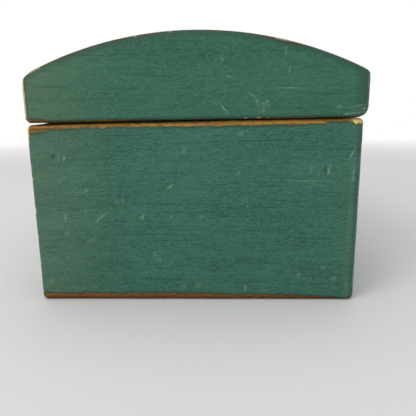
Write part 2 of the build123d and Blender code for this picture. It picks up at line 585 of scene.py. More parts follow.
# Where the paint is worn off: two faces of an edge, and from where to where across the edge in
# millimetres. The pairs of numbers give a limit at places along the edge, and RIM is the other limit
# where the whole of a rim or of the underside is bare.
RIM = 40.0
BASE_WEAR = (
    ("left", "top", ((-65, -1.2), (-62, -1.7), (-60, -0.9), (-57, -0.5), (-52, -0.6), (-47, -1.6),
                     (-42, -1.8), (-30, -1.8), (-18, -1.6), (0, -1.8), (12, -1.4), (20, -0.95),
                     (28, -1.25), (40, -1.35), (50, -1.4), (59, -2.2), (65, -3.6)), RIM),
    ("right", "top", ((-65, -1.4), (-30, -0.9), (0, -1.5), (40, -1.2), (65, -2.0)), RIM),
    ("front", "top", ((-95, -1.6), (-40, -1.2), (0, -2.0), (40, -1.4), (95, -1.8)), RIM),
    ("back", "top", ((-95, -1.2), (0, -0.9), (95, -1.3)), RIM),
    ("left", "bottom", ((-65, 2.2), (-61.5, 1.0), (-58, -0.4), (-53, -1.2), (-41, -1.5), (-17, -2.0),
                        (7, -2.5), (31, -2.5), (65, -2.6)), RIM),
    ("right", "bottom", ((-65, -1.2), (0, -1.5), (65, -1.0)), RIM),
    ("front", "bottom", ((-95, -1.3), (0, -1.7), (95, -1.5)), RIM),
    ("back", "bottom", ((-95, -1.5), (0, -1.2), (95, -1.6)), RIM),
    ("left", "back", ((0, 0.7), (20, 0.9), (35, 0.5), (45, 0.8), (58, 0.6), (66, 0.0), (70, -0.9),
                      (73, -1.5)), 1.2),
    ("left", "front", ((0, 1.6), (30, 1.9), (50, 1.9), (66, 1.4), (73, 0.6)), 2.2),
    ("right", "back", ((0, 0.4), (40, 0.9), (73, 0.0)), 1.4),
    ("right", "front", ((0, -0.2), (40, 0.6), (73, -0.6)), 1.2),
)
LID_WEAR = (
    ("left", "bottom", ((-66, 1.5), (-60, 1.2), (-30, 0.9), (0, 0.9), (40, 0.8), (54, 0.5),
                        (59, -0.5), (66, -1.4)), RIM),
    ("right", "bottom", ((-66, -0.3), (0, 0.4), (66, 0.1)), RIM),
    ("front", "bottom", ((-95, -0.2), (-25, 0.2), (0, -1.5), (25, 0.1), (95, -0.2)), RIM),
    ("back", "bottom", ((-95, 0.2), (0, -0.4), (95, 0.2)), RIM),
    ("left", "top", ((-66, 1.2), (-50, 1.1), (-42, 0.5), (-39, -0.2), (-31, -0.2), (-27, 0.6), (5, 0.8),
                     (15, 0.3), (45, 0.2), (60, -0.1), (66, -0.7)), 1.9),
    ("right", "top", ((-66, 0.1), (-30, 0.5), (0, 0.2), (66, 0.4)), 1.7),
    ("left", "back", ((73, -0.4), (76, -1.0), (82, -0.8), (87, -1.1), (90, -0.4)), 1.2),
    ("left", "front", ((73, 1.0), (76, 0.7), (79, 1.6), (90, 1.4)), 2.1),
    ("right", "back", ((73, 0.5), (90, 0.7)), 1.7),
    ("right", "front", ((73, -0.3), (90, 0.4)), 1.5),
    ("front", "top", ((-95, 0.1), (0, -0.5), (95, 0.2)), 1.1),
    ("back", "top", ((-95, 0.2), (0, 0.1), (95, -0.1)), 0.9),
)
# Chips where the bare wood shows: start, end and radius in millimetres
CHIPS = (
    ((-94.2, -62.0, 72.3), (-94.2, -63.6, 72.0), 1.3),
    ((-94.4, -60.6, 72.9), (-94.4, -62.0, 72.9), 0.6),
    ((-94.0, -64.7, 69.6), (-94.0, -64.7, 68.6), 0.35),
    ((-94.0, -64.7, 63.4), (-94.0, -64.7, 61.6), 0.45),
    ((-94.1, -64.6, 51.8), (-94.1, -64.6, 51.0), 0.40),
    ((-93.9, -64.8, 47.0), (-93.9, -64.8, 46.4), 0.30),
    ((-94.0, -64.7, 39.0), (-94.0, -64.7, 37.6), 0.45),
    ((-94.0, -64.7, 32.6), (-94.0, -64.7, 30.4), 0.40),
    ((-94.1, -64.6, 25.2), (-94.1, -64.6, 24.6), 0.30),
    ((-94.0, -64.7, 17.9), (-94.0, -64.7, 16.9), 0.35),
    ((-94.3, 64.5, 56.6), (-94.3, 64.5, 55.4), 0.40),
    ((-94.3, 64.5, 51.8), (-94.3, 64.5, 50.8), 0.50),
    ((-94.3, 64.5, 43.2), (-94.3, 64.5, 42.6), 0.35),
    ((-94.3, 64.5, 39.0), (-94.3, 64.5, 37.8), 0.80),
    ((-94.3, 64.5, 27.8), (-94.3, 64.5, 26.8), 0.40),
    ((-94.3, 64.5, 16.2), (-94.3, 64.5, 15.6), 0.40),
    ((-95.3, -19.6, 73.9), (-95.3, -20.8, 73.9), 0.40),
    ((-95.3, -24.0, 73.9), (-95.3, -26.0, 73.9), 0.40),
    ((-95.2, -28.0, 73.8), (-95.2, -28.6, 73.8), 0.30),
    ((-95.2, 57.0, 93.6), (-95.2, 63.0, 91.0), 0.45),
    ((-94.9, 7.8, 105.2), (-94.9, 7.2, 105.2), 0.45),
    ((-94.9, 20.7, 103.9), (-94.9, 20.0, 104.0), 0.45),
    ((-94.7, -31.0, 102.3), (-94.7, -39.6, 99.9), 0.50),
    ((-95.2, -63.8, 77.6), (-95.0, -64.8, 77.4), 0.50),
    ((-95.1, -61.0, 76.1), (-95.1, -64.6, 76.6), 0.22),
)
# Scuffs where the paint is only paler: start, end and radius in millimetres
SCUFFS = (
    ((-94.3, -64.6, 6.0), (-94.3, -64.6, 31.0), 0.50),
    ((-94.3, -64.6, 34.0), (-94.3, -64.6, 50.0), 0.45),
    ((-94.3, -64.6, 53.0), (-94.3, -64.6, 61.0), 0.45),
    ((-95.2, -65.9, 84.5), (-95.2, -65.8, 89.8), 0.70),
    ((-95.2, -66.1, 78.4), (-95.2, -66.1, 83.0), 0.50),
    ((-95.6, -64.0, 77.0), (-95.2, -66.0, 77.1), 0.40),
    ((-95.7, -57.0, 75.0), (-95.5, -65.2, 75.7), 0.25),
)
# Faint flecks on the left end: Y and Z in millimetres, and strength
FLECKS = (
    (-17.5, 52.9, 0.50),
    (-1.1, 6.4, 0.50),
    (5.1, 6.0, 0.40),
    (60.0, 8.2, 0.45),
    (-51.7, 14.2, 0.40),
    (-2.8, 35.7, 0.35),
    (14.7, 17.8, 0.40),
    (16.4, 20.4, 0.30),
    (-18.2, 67.9, 0.35),
    (3.8, 62.0, 0.35),
    (-45.7, 54.6, 0.35),
    (-56.3, 9.5, 0.40),
    (-42.1, 11.2, 0.35),
    (43.4, 38.5, 0.35),
    (28.6, 42.0, 0.30),
    (30.8, 41.6, 0.25),
    (52.0, 29.0, 0.35),
    (41.0, 26.4, 0.25),
    (43.0, 25.6, 0.25),
    (-62.0, 50.9, 0.45),
    (-11.5, 95.5, 0.40),
    (-55.0, 77.7, 0.35),
    (-26.8, 76.7, 0.50),
    (-27.1, 79.2, 0.40),
)
FLECK_RADIUS = 0.55 * MM
END_FACES = ("left", "right")
FLAT_FACES = ("top", "bottom")

# How the limit of the wear wavers: step and amount of each ripple, and how far their seeds are apart
LONG_RIPPLE = (9 * MM, 0.2 * MM)
SHORT_RIPPLE = (2.5 * MM, 0.25 * MM)
SEED_STEP = 50
# Distance over which wear comes on, and how far inside its limit it is complete
WEAR_SOFTNESS = 2.0 * MM
WEAR_DEPTH = 1.2 * MM
# How far round a corner an edge's wear may reach, and how steeply it then ends
STRAY_REACH = 0.3 * MM
STRAY_FALL = 4
# Surfaces this deep inside the form were never painted, over the softness given after it
PAINT_REACH = 1.2 * MM
PAINT_REACH_SOFTNESS = 0.8 * MM


def from_run(points, start, end):
    """Distance of each point from a straight run between two places in millimetres."""
    start = np.array(start) * MM
    run = np.array(end) * MM - start
    share = np.clip((points - start) @ run / (run @ run), 0, 1)
    return np.linalg.norm(points - start - share[:, None] * run, axis=1)


def rubbed(form, points, wear_list):
    """How far the paint is worn at each point: a half on the limit, 1 well inside the worn part."""
    depths = form.depths(points)
    rub = np.zeros(len(points))
    for number, (face_a, face_b, start, stop) in enumerate(wear_list):
        if face_b not in FLAT_FACES:
            along = points[:, 2]
        elif face_a in END_FACES:
            along = points[:, 1]
        else:
            along = points[:, 0]
        places, limits = np.array(start).T * MM
        low = np.interp(along, places, limits)
        low = low + ripple(along, number, *LONG_RIPPLE) + ripple(along, number + SEED_STEP, *SHORT_RIPPLE)
        at, astray = across_edge(depths[face_a], depths[face_b])
        inside = np.minimum(np.minimum(at - low, stop * MM - at), WEAR_DEPTH)
        inside -= STRAY_FALL * np.maximum(astray - STRAY_REACH, 0)
        rub = np.maximum(rub, 0.5 + inside / WEAR_SOFTNESS)
    for start, end, radius in CHIPS:
        rub = np.maximum(rub, 1.0 - 0.5 * from_run(points, start, end) / (radius * MM))
    seam_face = "top" if form is BASE_FORM else "bottom"
    nearest = np.minimum.reduce([depth for face, depth in depths.items() if face != seam_face])
    rub = np.maximum(rub, (nearest - PAINT_REACH) / PAINT_REACH_SOFTNESS)
    return np.clip(rub, 0.0, 1.0)


# How pale the left end's back corner is, as heights in millimetres and strengths at them
BASE_CORNER = ((62, 67, 71, 73), (0, 0.6, 0.9, 0.3))
LID_CORNER = ((74, 76, 92, 96), (0.2, 1, 0.9, 0.2))
CORNER_LENGTH = 4 * MM
CORNER_WIDTH = 1.4 * MM
# Flecks lie on surfaces this near to the left end's face
FLECK_DEPTH = 0.5 * MM
# How many radii out a chip or scuff, and a fleck, fades away
CHIP_FADE = 1.7
FLECK_FADE = 2.0


def paled(points):
    """Where the surface is pale: the box's back corner, the chips, the scuffs and the flecks."""
    at_left = points[:, 0] < BASE_LOW[0] + CORNER_LENGTH
    at_back = points[:, 1] > BASE_HIGH[1] - CORNER_WIDTH
    base_corner, lid_corner = (
        np.interp(points[:, 2], np.array(heights) * MM, strengths)
        for heights, strengths in (BASE_CORNER, LID_CORNER)
    )
    pale = np.where(points[:, 2] < AXIS_Z, base_corner, lid_corner) * at_left * at_back
    for start, end, radius in CHIPS + SCUFFS:
        away = from_run(points, start, end) / (radius * MM)
        pale = np.maximum(pale, np.clip(CHIP_FADE - away, 0, 1))
    on_end = points[:, 0] < BASE_LOW[0] + FLECK_DEPTH
    for y, z, strength in FLECKS:
        away = np.hypot(points[:, 1] - y * MM, points[:, 2] - z * MM) / FLECK_RADIUS
        pale = np.maximum(pale, strength * np.clip(FLECK_FADE - away, 0, 1) * on_end)
    return pale


# Painted shade on the rims beside the seam goes from the outer edge in to just past the boards' inner faces
SHADE_PAST_BOARD = 0.3 * MM
# Painted shade under the lid's lower edge and at the foot stays this near to the outer faces
SHADE_REACH = 1.6 * MM


def painted_shade_places(points):
    """Where shade is painted in: along the seam, under the lid's lower edge, and at the foot."""
    depths = BASE_FORM.depths(points)
    outer = np.minimum.reduce([depths[face] for face in ("left", "right", "front", "back")])
    above = (points[:, 2] - AXIS_Z) / MM
    thicker = np.interp(points[:, 1] / MM, [-50, -42], [0.25, 0]) * (above > 0)
    seam = np.interp(np.abs(above) - thicker, [0.42, 0.66], [1, 0]) * (outer < BASE_BOARD + SHADE_PAST_BOARD)
    seam *= np.interp(outer / MM, [1.0, 2.4, 5.8, 6.2], [1, 0.3, 0.3, 1])
    under_lid = np.interp(above, [0.25, 0.5, 2.0], [0, 0.45, 0]) * (outer < SHADE_REACH)
    foot = np.interp(points[:, 2] / MM, [0.1, 0.9, 2.6], [0.85, 0.4, 0.1]) * (outer < SHADE_REACH)
    return np.maximum.reduce([seam, under_lid, foot])


# How much painted shade darkens the paint along the edges of each face, and how far in, in millimetres
BASE_EDGE_SHADE = {"front": (0.34, 3.6), "back": (0.25, 3.0)}
LID_EDGE_SHADE = {"top": (0.58, 3.4), "front": (0.46, 7.5), "back": (0.15, 3.0)}


def shaded_along_edges(form, points):
    """Painted shade that darkens the paint along the edges."""
    depths = form.depths(points)
    edge_shade = np.zeros(len(points))
    for face, (strength, reach) in (BASE_EDGE_SHADE if form is BASE_FORM else LID_EDGE_SHADE).items():
        others = np.minimum.reduce([depth for name, depth in depths.items() if name != face])
        near = np.interp(depths[face] / MM, [0.4, 0.45 * reach, reach], [1, 0.75, 0])
        edge_shade = np.maximum(edge_shade, strength * near * np.interp(others / MM, [1.0, 2.4], [1, 0]))
    return edge_shade


# How far the seam is lifted at the left end in millimetres, at places from front to back
LEAN_PLACES = (-65, -63, -52, -40, -24, -2, 17, 41, 65)
BASE_LEAN = (0.90, 0.49, 0.48, 0.45, 0.42, 0.19, -0.04, -0.38, -0.62)
LID_LEAN = (0.0, 0.0, 0.0, 0.0, 0.0, 0.0, -0.12, -0.28, -0.44)
LEAN_HEIGHT = 14.0 * MM
# How far the lean runs along the box in millimetres, at two places from front to back
LEAN_RUN_PLACES = (-20, 40)
LEAN_RUNS = (90, 17)


def seam_lean(points, in_base):
    """How far each point is lifted where the seam leans; the hinges stand beyond its end."""
    run = np.interp(points[:, 1], np.array(LEAN_RUN_PLACES) * MM, np.array(LEAN_RUNS) * MM)
    near_end = np.clip(1 - (points[:, 0] - BASE_LOW[0] - 2 * MM) / run, 0, 1)
    near_seam = np.clip(1 - np.abs(points[:, 2] - AXIS_Z) / LEAN_HEIGHT, 0, 1)
    lift = np.interp(points[:, 1] / MM, LEAN_PLACES, BASE_LEAN if in_base else LID_LEAN)
    return lift * MM * near_end * near_seam


def lend_attribute(mesh, name, kind, key, values):
    """Stores one value for each vertex, for the materials to read."""
    attribute = mesh.attributes.new(name, kind, "POINT")
    attribute.data.foreach_set(key, np.asarray(values, np.float32).ravel())


def lay_grain(mesh, points, length_axis):
    """Grain coordinates in metres: along the board, across it, and into it."""
    along = points[:, length_axis]
    if length_axis == 0:
        across = points[:, 2] + points[:, 1]
        into = points[:, 2] - points[:, 1]
    else:
        across = points[:, 2] + points[:, 0]
        into = points[:, 2] - points[:, 0]
    lend_attribute(mesh, "grain_place", "FLOAT_VECTOR", "vector", np.stack([along, across, into], axis=1))


# Edges that turn by more than these angles stay sharp
BOARD_TURN = math.radians(40)
HINGE_TURN = math.radians(35)
SCREW_TURN = math.radians(30)


def mark_sharp(mesh, angle):
    """Smooth faces, apart from edges that turn by more than the angle."""
    work = bmesh.new()
    work.from_mesh(mesh)
    for face in work.faces:
        face.smooth = True
    for edge in work.edges:
        edge.smooth = len(edge.link_faces) == 2 and edge.calc_face_angle() < angle
    work.to_mesh(mesh)
    work.free()


def mesh_points(mesh):
    """All vertices of a mesh, as rows of an array."""
    points = np.zeros(len(mesh.vertices) * 3)
    mesh.vertices.foreach_get("co", points)
    return points.reshape(-1, 3)


def add_piece(name, mesh, material, body, nodes):
    """A finished piece: shown with its material, riding on its body in place of its CAD nodes."""
    mesh.materials.clear()
    mesh.materials.append(material)
    piece = bpy.data.objects.new(name, mesh)
    bpy.context.scene.collection.objects.link(piece)
    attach(piece, body)
    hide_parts(*nodes)
    return piece


def baked_mesh(subject):
    """The subject's mesh with its modifiers worked in; the subject itself is removed."""
    depsgraph = bpy.context.evaluated_depsgraph_get()
    mesh = bpy.data.meshes.new_from_object(subject.evaluated_get(depsgraph))
    subject.modifiers.clear()
    old_mesh = subject.data
    bpy.data.objects.remove(subject)
    bpy.data.meshes.remove(old_mesh)
    return mesh


def seat_cutters(side):
    """The grooves for the knuckles and the seats for the leaves, for both hinges of one board."""
    work = bmesh.new()
    seat_floor = AXIS_Z + side * (LEAF_GAP / 2 + LEAF_THICKNESS)
    seat_top = AXIS_Z - side * LEAF_GAP * SEAT_OVERCUT
    for centre in (-HINGE_X, HINGE_X):
        groove = Matrix.Translation((centre, AXIS_Y, AXIS_Z)) @ Matrix.Rotation(math.pi / 2, 4, "Y")
        bmesh.ops.create_cone(
            work,
            cap_ends=True,
            segments=GROOVE_SIDES,
            radius1=GROOVE_RADIUS,
            radius2=GROOVE_RADIUS,
            depth=HINGE_LENGTH + 2 * KNUCKLE_CLEARANCE,
            matrix=groove,
        )
    groove_mesh = bpy.data.meshes.new("groove_cutter")
    work.to_mesh(groove_mesh)
    work.free()
    work = bmesh.new()
    for centre in (-HINGE_X, HINGE_X):
        size = (HINGE_LENGTH + 2 * SEAT_EASE, AXIS_Y - LEAF_EDGE + SEAT_EASE, abs(seat_top - seat_floor))
        middle = (centre, (AXIS_Y + LEAF_EDGE - SEAT_EASE) / 2, (seat_top + seat_floor) / 2)
        bmesh.ops.create_cube(work, size=1, matrix=Matrix.LocRotScale(middle, None, size))
    seat_mesh = bpy.data.meshes.new("seat_cutter")
    work.to_mesh(seat_mesh)
    work.free()
    return groove_mesh, seat_mesh


def cut_seats(mesh, side):
    """The board's mesh with the hinge seats cut out of its rim."""
    board = bpy.data.objects.new("board_to_cut", mesh)
    bpy.context.scene.collection.objects.link(board)
    cutters = []
    for cutter_mesh in seat_cutters(side):
        cutter = bpy.data.objects.new(cutter_mesh.name, cutter_mesh)
        bpy.context.scene.collection.objects.link(cutter)
        cutters.append(cutter)
        cut = board.modifiers.new(cutter_mesh.name, "BOOLEAN")
        cut.operation = "DIFFERENCE"
        cut.solver = "EXACT"
        cut.object = cutter
    bpy.context.view_layer.update()
    cut_mesh = baked_mesh(board)
    for cutter in cutters:
        cutter_mesh = cutter.data
        bpy.data.objects.remove(cutter)
        bpy.data.meshes.remove(cutter_mesh)
    return cut_mesh


# Node trees are written with these helpers, which take sockets or plain values
class Recipe:
    """A material's node tree, built one named step at a time."""

    def __init__(self, name):
        self.material = bpy.data.materials.new(name)
        self.material.use_nodes = True
        self.tree = self.material.node_tree
        self.tree.nodes.clear()

    def node(self, kind, settings=None, **inputs):
        """Adds a node; inputs are named in lower case with underscores, or by number as in_0."""
        made = self.tree.nodes.new("ShaderNode" + kind)
        for key, value in (settings or {}).items():
            setattr(made, key, value)
        for key, value in inputs.items():
            socket = self.socket(made, key)
            if isinstance(value, bpy.types.NodeSocket):
                self.tree.links.new(value, socket)
            else:
                socket.default_value = value
        return made

    @staticmethod
    def socket(node, key):
        """The input that a keyword names."""
        if key.startswith("in_"):
            return node.inputs[int(key[3:])]
        wanted = key.replace("_", " ")
        return next(s for s in node.inputs if s.name.lower() == wanted and s.enabled)

    def math(self, operation, first, second=0.0, clamp=False):
        """One sum on numbers."""
        made = self.node("Math", {"operation": operation, "use_clamp": clamp}, in_0=first, in_1=second)
        return made.outputs[0]

    def total(self, *values):
        """The sum of several values."""
        result = values[0]
        for value in values[1:]:
            result = self.math("ADD", result, value)
        return result

    def swing(self, value, weight):
        """A value that lies about a half, as a swing about nought of the given weight."""
        return self.math("MULTIPLY", self.math("SUBTRACT", value, 0.5), weight)

    def spread(self, value, low, high, to_low=0.0, to_high=1.0):
        """A value's range from low to high stretched smoothly over another range."""
        made = self.node(
            "MapRange",
            {"interpolation_type": "SMOOTHSTEP"},
            value=value,
            from_min=low,
            from_max=high,
            to_min=to_low,
            to_max=to_high,
        )
        return made.outputs["Result"]

    def mix(self, share, first, second):
        """Two colours mixed by a share."""
        made = self.node("Mix", {"data_type": "RGBA"}, factor=share)
        for number, value in ((6, first), (7, second)):
            if isinstance(value, bpy.types.NodeSocket):
                self.tree.links.new(value, made.inputs[number])
            else:
                made.inputs[number].default_value = (*value, 1.0)
        return made.outputs[2]

    def stretched(self, place, cells, offset=(0.0, 0.0, 0.0)):
        """A place in metres, scaled so that one unit is a cell of the given size in millimetres."""
        moved = self.node("VectorMath", {"operation": "ADD"}, in_0=place, in_1=offset)
        sizes = tuple(1 / (cell * MM) for cell in cells)
        scaled = self.node("VectorMath", {"operation": "MULTIPLY"}, in_0=moved.outputs[0], in_1=sizes)
        return scaled.outputs[0]

    def grain_noise(self, place, cells, detail=2.0, roughness=0.5, offset=(0.0, 0.0, 0.0)):
        """Soft noise in stretched cells."""
        made = self.node(
            "TexNoise",
            vector=self.stretched(place, cells, offset),
            scale=1.0,
            detail=detail,
            roughness=roughness,
        )
        return made.outputs[0]

    def finish(self, shader):
        """Joins the shader to the output."""
        output = self.tree.nodes.new("ShaderNodeOutputMaterial")
        self.tree.links.new(shader, output.inputs["Surface"])
        return self.material


def wavy_place(recipe, place, waver, length):
    """Grain coordinates bent a little, so that lines along the board run gently up and down."""
    bend = recipe.node("TexNoise", vector=recipe.stretched(place, (length, 40, 40)), scale=1.0, detail=1.0)
    shift = recipe.math("MULTIPLY", recipe.math("SUBTRACT", bend.outputs[0], 0.5), 2 * waver * MM)
    offset = recipe.node("CombineXYZ", y=shift).outputs[0]
    return recipe.node("VectorMath", {"operation": "ADD"}, in_0=place, in_1=offset).outputs[0]


def grain_lines(recipe, place, spacing):
    """Thin lines of the wood's grain that show through the paint, broken here and there."""
    across = recipe.node("SeparateXYZ", vector=place).outputs[1]
    drift = recipe.grain_noise(place, (42, 9, 9), detail=2.0, roughness=0.5, offset=(0.13, 0.07, 0.02))
    phase = recipe.total(recipe.math("DIVIDE", across, spacing * MM), recipe.math("MULTIPLY", drift, 3.0))
    line = recipe.spread(recipe.math("PINGPONG", phase, 0.5), 0.0, 0.13, 1.0, 0.0)
    shown = recipe.grain_noise(place, (60, 1.6, 1.6), detail=1.0, roughness=0.6, offset=(0.4, 0.2, 0.1))
    return recipe.math("MULTIPLY", line, recipe.spread(shown, 0.45, 0.68))


# Scratches, flecks and dents on the left end: start and end as Y and Z, and width, in millimetres
BASE_MARKS = (
    ((52.2, 34.6), (52.0, 36.6), 0.40),
    ((39.9, 33.4), (38.4, 35.2), 0.30),
    ((38.4, 35.0), (36.0, 36.8), 0.35),
    ((21.8, 35.6), (20.9, 34.9), 0.35),
    ((20.9, 35.0), (20.5, 36.6), 0.30),
    ((9.4, 35.2), (9.0, 35.9), 0.30),
    ((43.8, 46.0), (42.4, 46.9), 0.30),
    ((10.2, 47.2), (8.8, 48.2), 0.35),
    ((-40.0, 49.8), (-47.8, 49.6), 0.27),
    ((-52.2, 52.6), (-52.6, 54.9), 0.45),
    ((-20.4, 4.6), (-20.6, 6.0), 0.40),
    ((-0.9, 6.0), (-1.4, 6.4), 0.30),
    ((53.2, 58.2), (52.8, 61.0), 0.28),
    ((51.0, 58.4), (50.6, 60.6), 0.26),
    ((-61.8, 50.0), (-62.0, 54.2), 0.30),
    ((-59.8, 57.6), (-61.6, 61.6), 0.20),
)
LID_MARKS = (
    ((-10.6, 79.4), (-12.9, 76.2), 0.30),
    ((-22.0, 82.8), (-24.0, 81.0), 0.24),
    ((-24.0, 81.4), (-25.0, 77.4), 0.24),
    ((-27.8, 80.8), (-28.8, 78.0), 0.22),
    ((-33.0, 84.8), (-41.0, 84.6), 0.20),
    ((-60.0, 77.6), (-65.6, 78.4), 0.22),
    ((-34.6, 96.8), (-34.8, 98.8), 0.22),
    ((-36.0, 90.0), (-36.2, 92.4), 0.24),
    ((-13.0, 89.4), (-15.4, 88.6), 0.22),
)
DARK_MARKS = (
    ((56.0, 59.3), (54.6, 60.3), 0.50),
    ((59.0, 86.5), (50.2, 86.2), 0.20),
    ((62.0, 23.4), (55.6, 23.2), 0.20),
    ((-51.3, 52.6), (-51.0, 55.4), 0.40),
    ((58.6, 38.4), (38.0, 39.4), 0.16),
)


# Half the depth of a mark's spot, and a distance in radii that is beyond every mark
MARK_DEPTH = 2.0 * MM
BEYOND_MARKS = 9.0


def all_marks(recipe, place, marks):
    """Near 1 on any of a list of marks and 0 away from them; each is a long spot on the left end."""
    nearest = BEYOND_MARKS
    for x, start, end, width in marks:
        run = math.hypot(end[0] - start[0], end[1] - start[1])
        lean = math.atan2(end[1] - start[1], end[0] - start[0])
        middle = (x, (start[0] + end[0]) / 2, (start[1] + end[1]) / 2)
        around = recipe.node(
            "Mapping",
            {"vector_type": "TEXTURE"},
            vector=place,
            location=[c * MM for c in middle],
            rotation=(lean, 0.0, 0.0),
            scale=(MARK_DEPTH, (run / 2 + width) * MM, width * MM),
        )
        away = recipe.node("VectorMath", {"operation": "LENGTH"}, in_0=around.outputs[0])
        nearest = recipe.math("MINIMUM", away.outputs["Value"], nearest)
    core = recipe.spread(nearest, 0.3, 1.3, 0.85, 0.0)
    halo = recipe.spread(nearest, 0.9, 2.0, 0.30, 0.0)
    return recipe.math("MAXIMUM", core, halo)


# Colours of wear, dirt and painted shade, which follow from the finish and aren't settings
LID_GREEN = (0.029, 0.141, 0.056)
SCRATCHED_GREEN = (0.25, 0.40, 0.31)
THINNED_GREEN = (0.024, 0.052, 0.026)
FOOT_RED_BROWN = (0.165, 0.038, 0.006)
DIRTY_WOOD = (0.050, 0.024, 0.008)
RIM_CREAM = (0.84, 0.65, 0.18)
EDGE_CREAM = (0.56, 0.52, 0.34)
# Near-black colours of painted shade on the paint, the bare wood and the liner
SHADE_ON_PAINT = (0.005, 0.004, 0.002)
SHADE_ON_WOOD = (0.004, 0.003, 0.002)
SHADE_ON_LINER = (0.010, 0.006, 0.004)
HANDLED_WOOD = (0.20, 0.11, 0.045)
BRASS_SPOTS = (0.12, 0.07, 0.03)

# Where a paler line runs down the base near the front, and the height of the rim's cream chips
PALE_LINE_FROM_MIDDLE = 61.4 * MM
RIM_CHIP_HEIGHT = 68 * MM


def wood_colour(recipe, place, colour, dark_share, light_share):
    """Straight-grained wood: growth lines, fine fibres and short dark pores, with its height in mm."""
    wavy = wavy_place(recipe, place, 1.5, 60)
    rings = recipe.grain_noise(wavy, (90, 2.6, 7), detail=3.0, roughness=0.6, offset=(0.31, 0.17, 0.05))
    fibres = recipe.grain_noise(wavy, (14, 0.35, 0.5), detail=2.0, roughness=0.6, offset=(0.11, 0.23, 0.41))
    pores = recipe.grain_noise(wavy, (3.2, 0.22, 0.3), detail=1.0, roughness=0.5)
    pores = recipe.spread(pores, 0.66, 0.74)
    dark = tuple(c * dark_share for c in colour)
    light = tuple(min(1.0, c * light_share) for c in colour)
    shade = recipe.mix(recipe.spread(rings, 0.36, 0.64), dark, light)
    shade = recipe.mix(recipe.math("MULTIPLY", recipe.spread(fibres, 0.35, 0.7), 0.45), shade, dark)
    shade = recipe.mix(recipe.math("MULTIPLY", pores, 0.55), shade, tuple(c * 0.45 for c in dark))
    height = recipe.math("MULTIPLY", recipe.math("ADD", fibres, rings), 0.02)
    height = recipe.math("SUBTRACT", height, recipe.math("MULTIPLY", pores, 0.03))
    return shade, height


def brushed_paint(recipe, place, object_place, finish):
    """Brush strokes, grain lines and bloom of the paint: its colour, its height in mm, its chalkiness."""
    wavy = wavy_place(recipe, place, 1.6, 45)
    broad = recipe.grain_noise(wavy, (36, 1.6, 1.6), detail=2.0, roughness=0.55, offset=(0.07, 0.02, 0.0))
    strokes = recipe.grain_noise(
        wavy, (8, 0.75, 0.75), detail=2.0, roughness=0.6, offset=(0.02, 0.09, 0.03)
    )
    bristles = recipe.grain_noise(
        wavy, (2.6, 0.55, 0.55), detail=1.0, roughness=0.6, offset=(0.05, 0.01, 0.08)
    )
    speckle = recipe.grain_noise(
        place, (0.75, 0.7, 0.7), detail=1.0, roughness=0.6, offset=(0.01, 0.06, 0.02)
    )
    bloom = recipe.grain_noise(place, (38, 16, 16), detail=3.0, roughness=0.55, offset=(0.21, 0.4, 0.1))
    cloud = recipe.grain_noise(place, (7, 3, 3), detail=3.0, roughness=0.65, offset=(0.2, 0.1, 0.3))
    lines = grain_lines(recipe, wavy, 1.7)
    chalk = recipe.total(
        0.60,
        recipe.swing(broad, 0.35),
        recipe.swing(strokes, 0.45),
        recipe.swing(bristles, 0.88),
        recipe.swing(speckle, 1.2),
        recipe.swing(bloom, 0.7),
        recipe.swing(cloud, 0.4),
        recipe.spread(speckle, 0.60, 0.74, 0.0, 0.45),
        recipe.spread(bristles, 0.62, 0.76, 0.0, 0.30),
    )
    chalk = recipe.math("SUBTRACT", chalk, recipe.math("MULTIPLY", lines, 0.48), clamp=True)
    colour = recipe.mix(chalk, tuple(finish.paint), tuple(finish.chalky_paint))

    # The lid's coat is a little yellower, and a paler, greyer line runs down the base near the front
    _, back, up = recipe.node("SeparateXYZ", vector=object_place).outputs
    colour = recipe.mix(recipe.spread(up, 73 * MM, 74 * MM, 0.0, 0.25), colour, LID_GREEN)
    from_pale_line = recipe.math("ABSOLUTE", recipe.math("ADD", back, PALE_LINE_FROM_MIDDLE))
    pale_line = recipe.spread(from_pale_line, 0.2 * MM, 1.7 * MM, 0.22, 0.0)
    pale_line = recipe.math("MULTIPLY", pale_line, recipe.spread(up, 66 * MM, 60 * MM))
    colour = recipe.mix(pale_line, colour, tuple(finish.grey_green_paint))

    # The paint turns paler and greyer towards the back
    greyer_back = recipe.spread(back, 24 * MM, 70 * MM, 0.0, 0.42)
    greyer_back = recipe.math("MULTIPLY", greyer_back, recipe.spread(cloud, 0.25, 0.75, 0.5, 1.1))
    colour = recipe.mix(greyer_back, colour, tuple(finish.grey_green_paint))

    height = recipe.total(
        recipe.math("MULTIPLY", broad, 0.07),
        recipe.math("MULTIPLY", strokes, 0.05),
        recipe.math("MULTIPLY", bristles, 0.03),
        recipe.math("MULTIPLY", lines, -0.03),
    )
    return colour, height, chalk


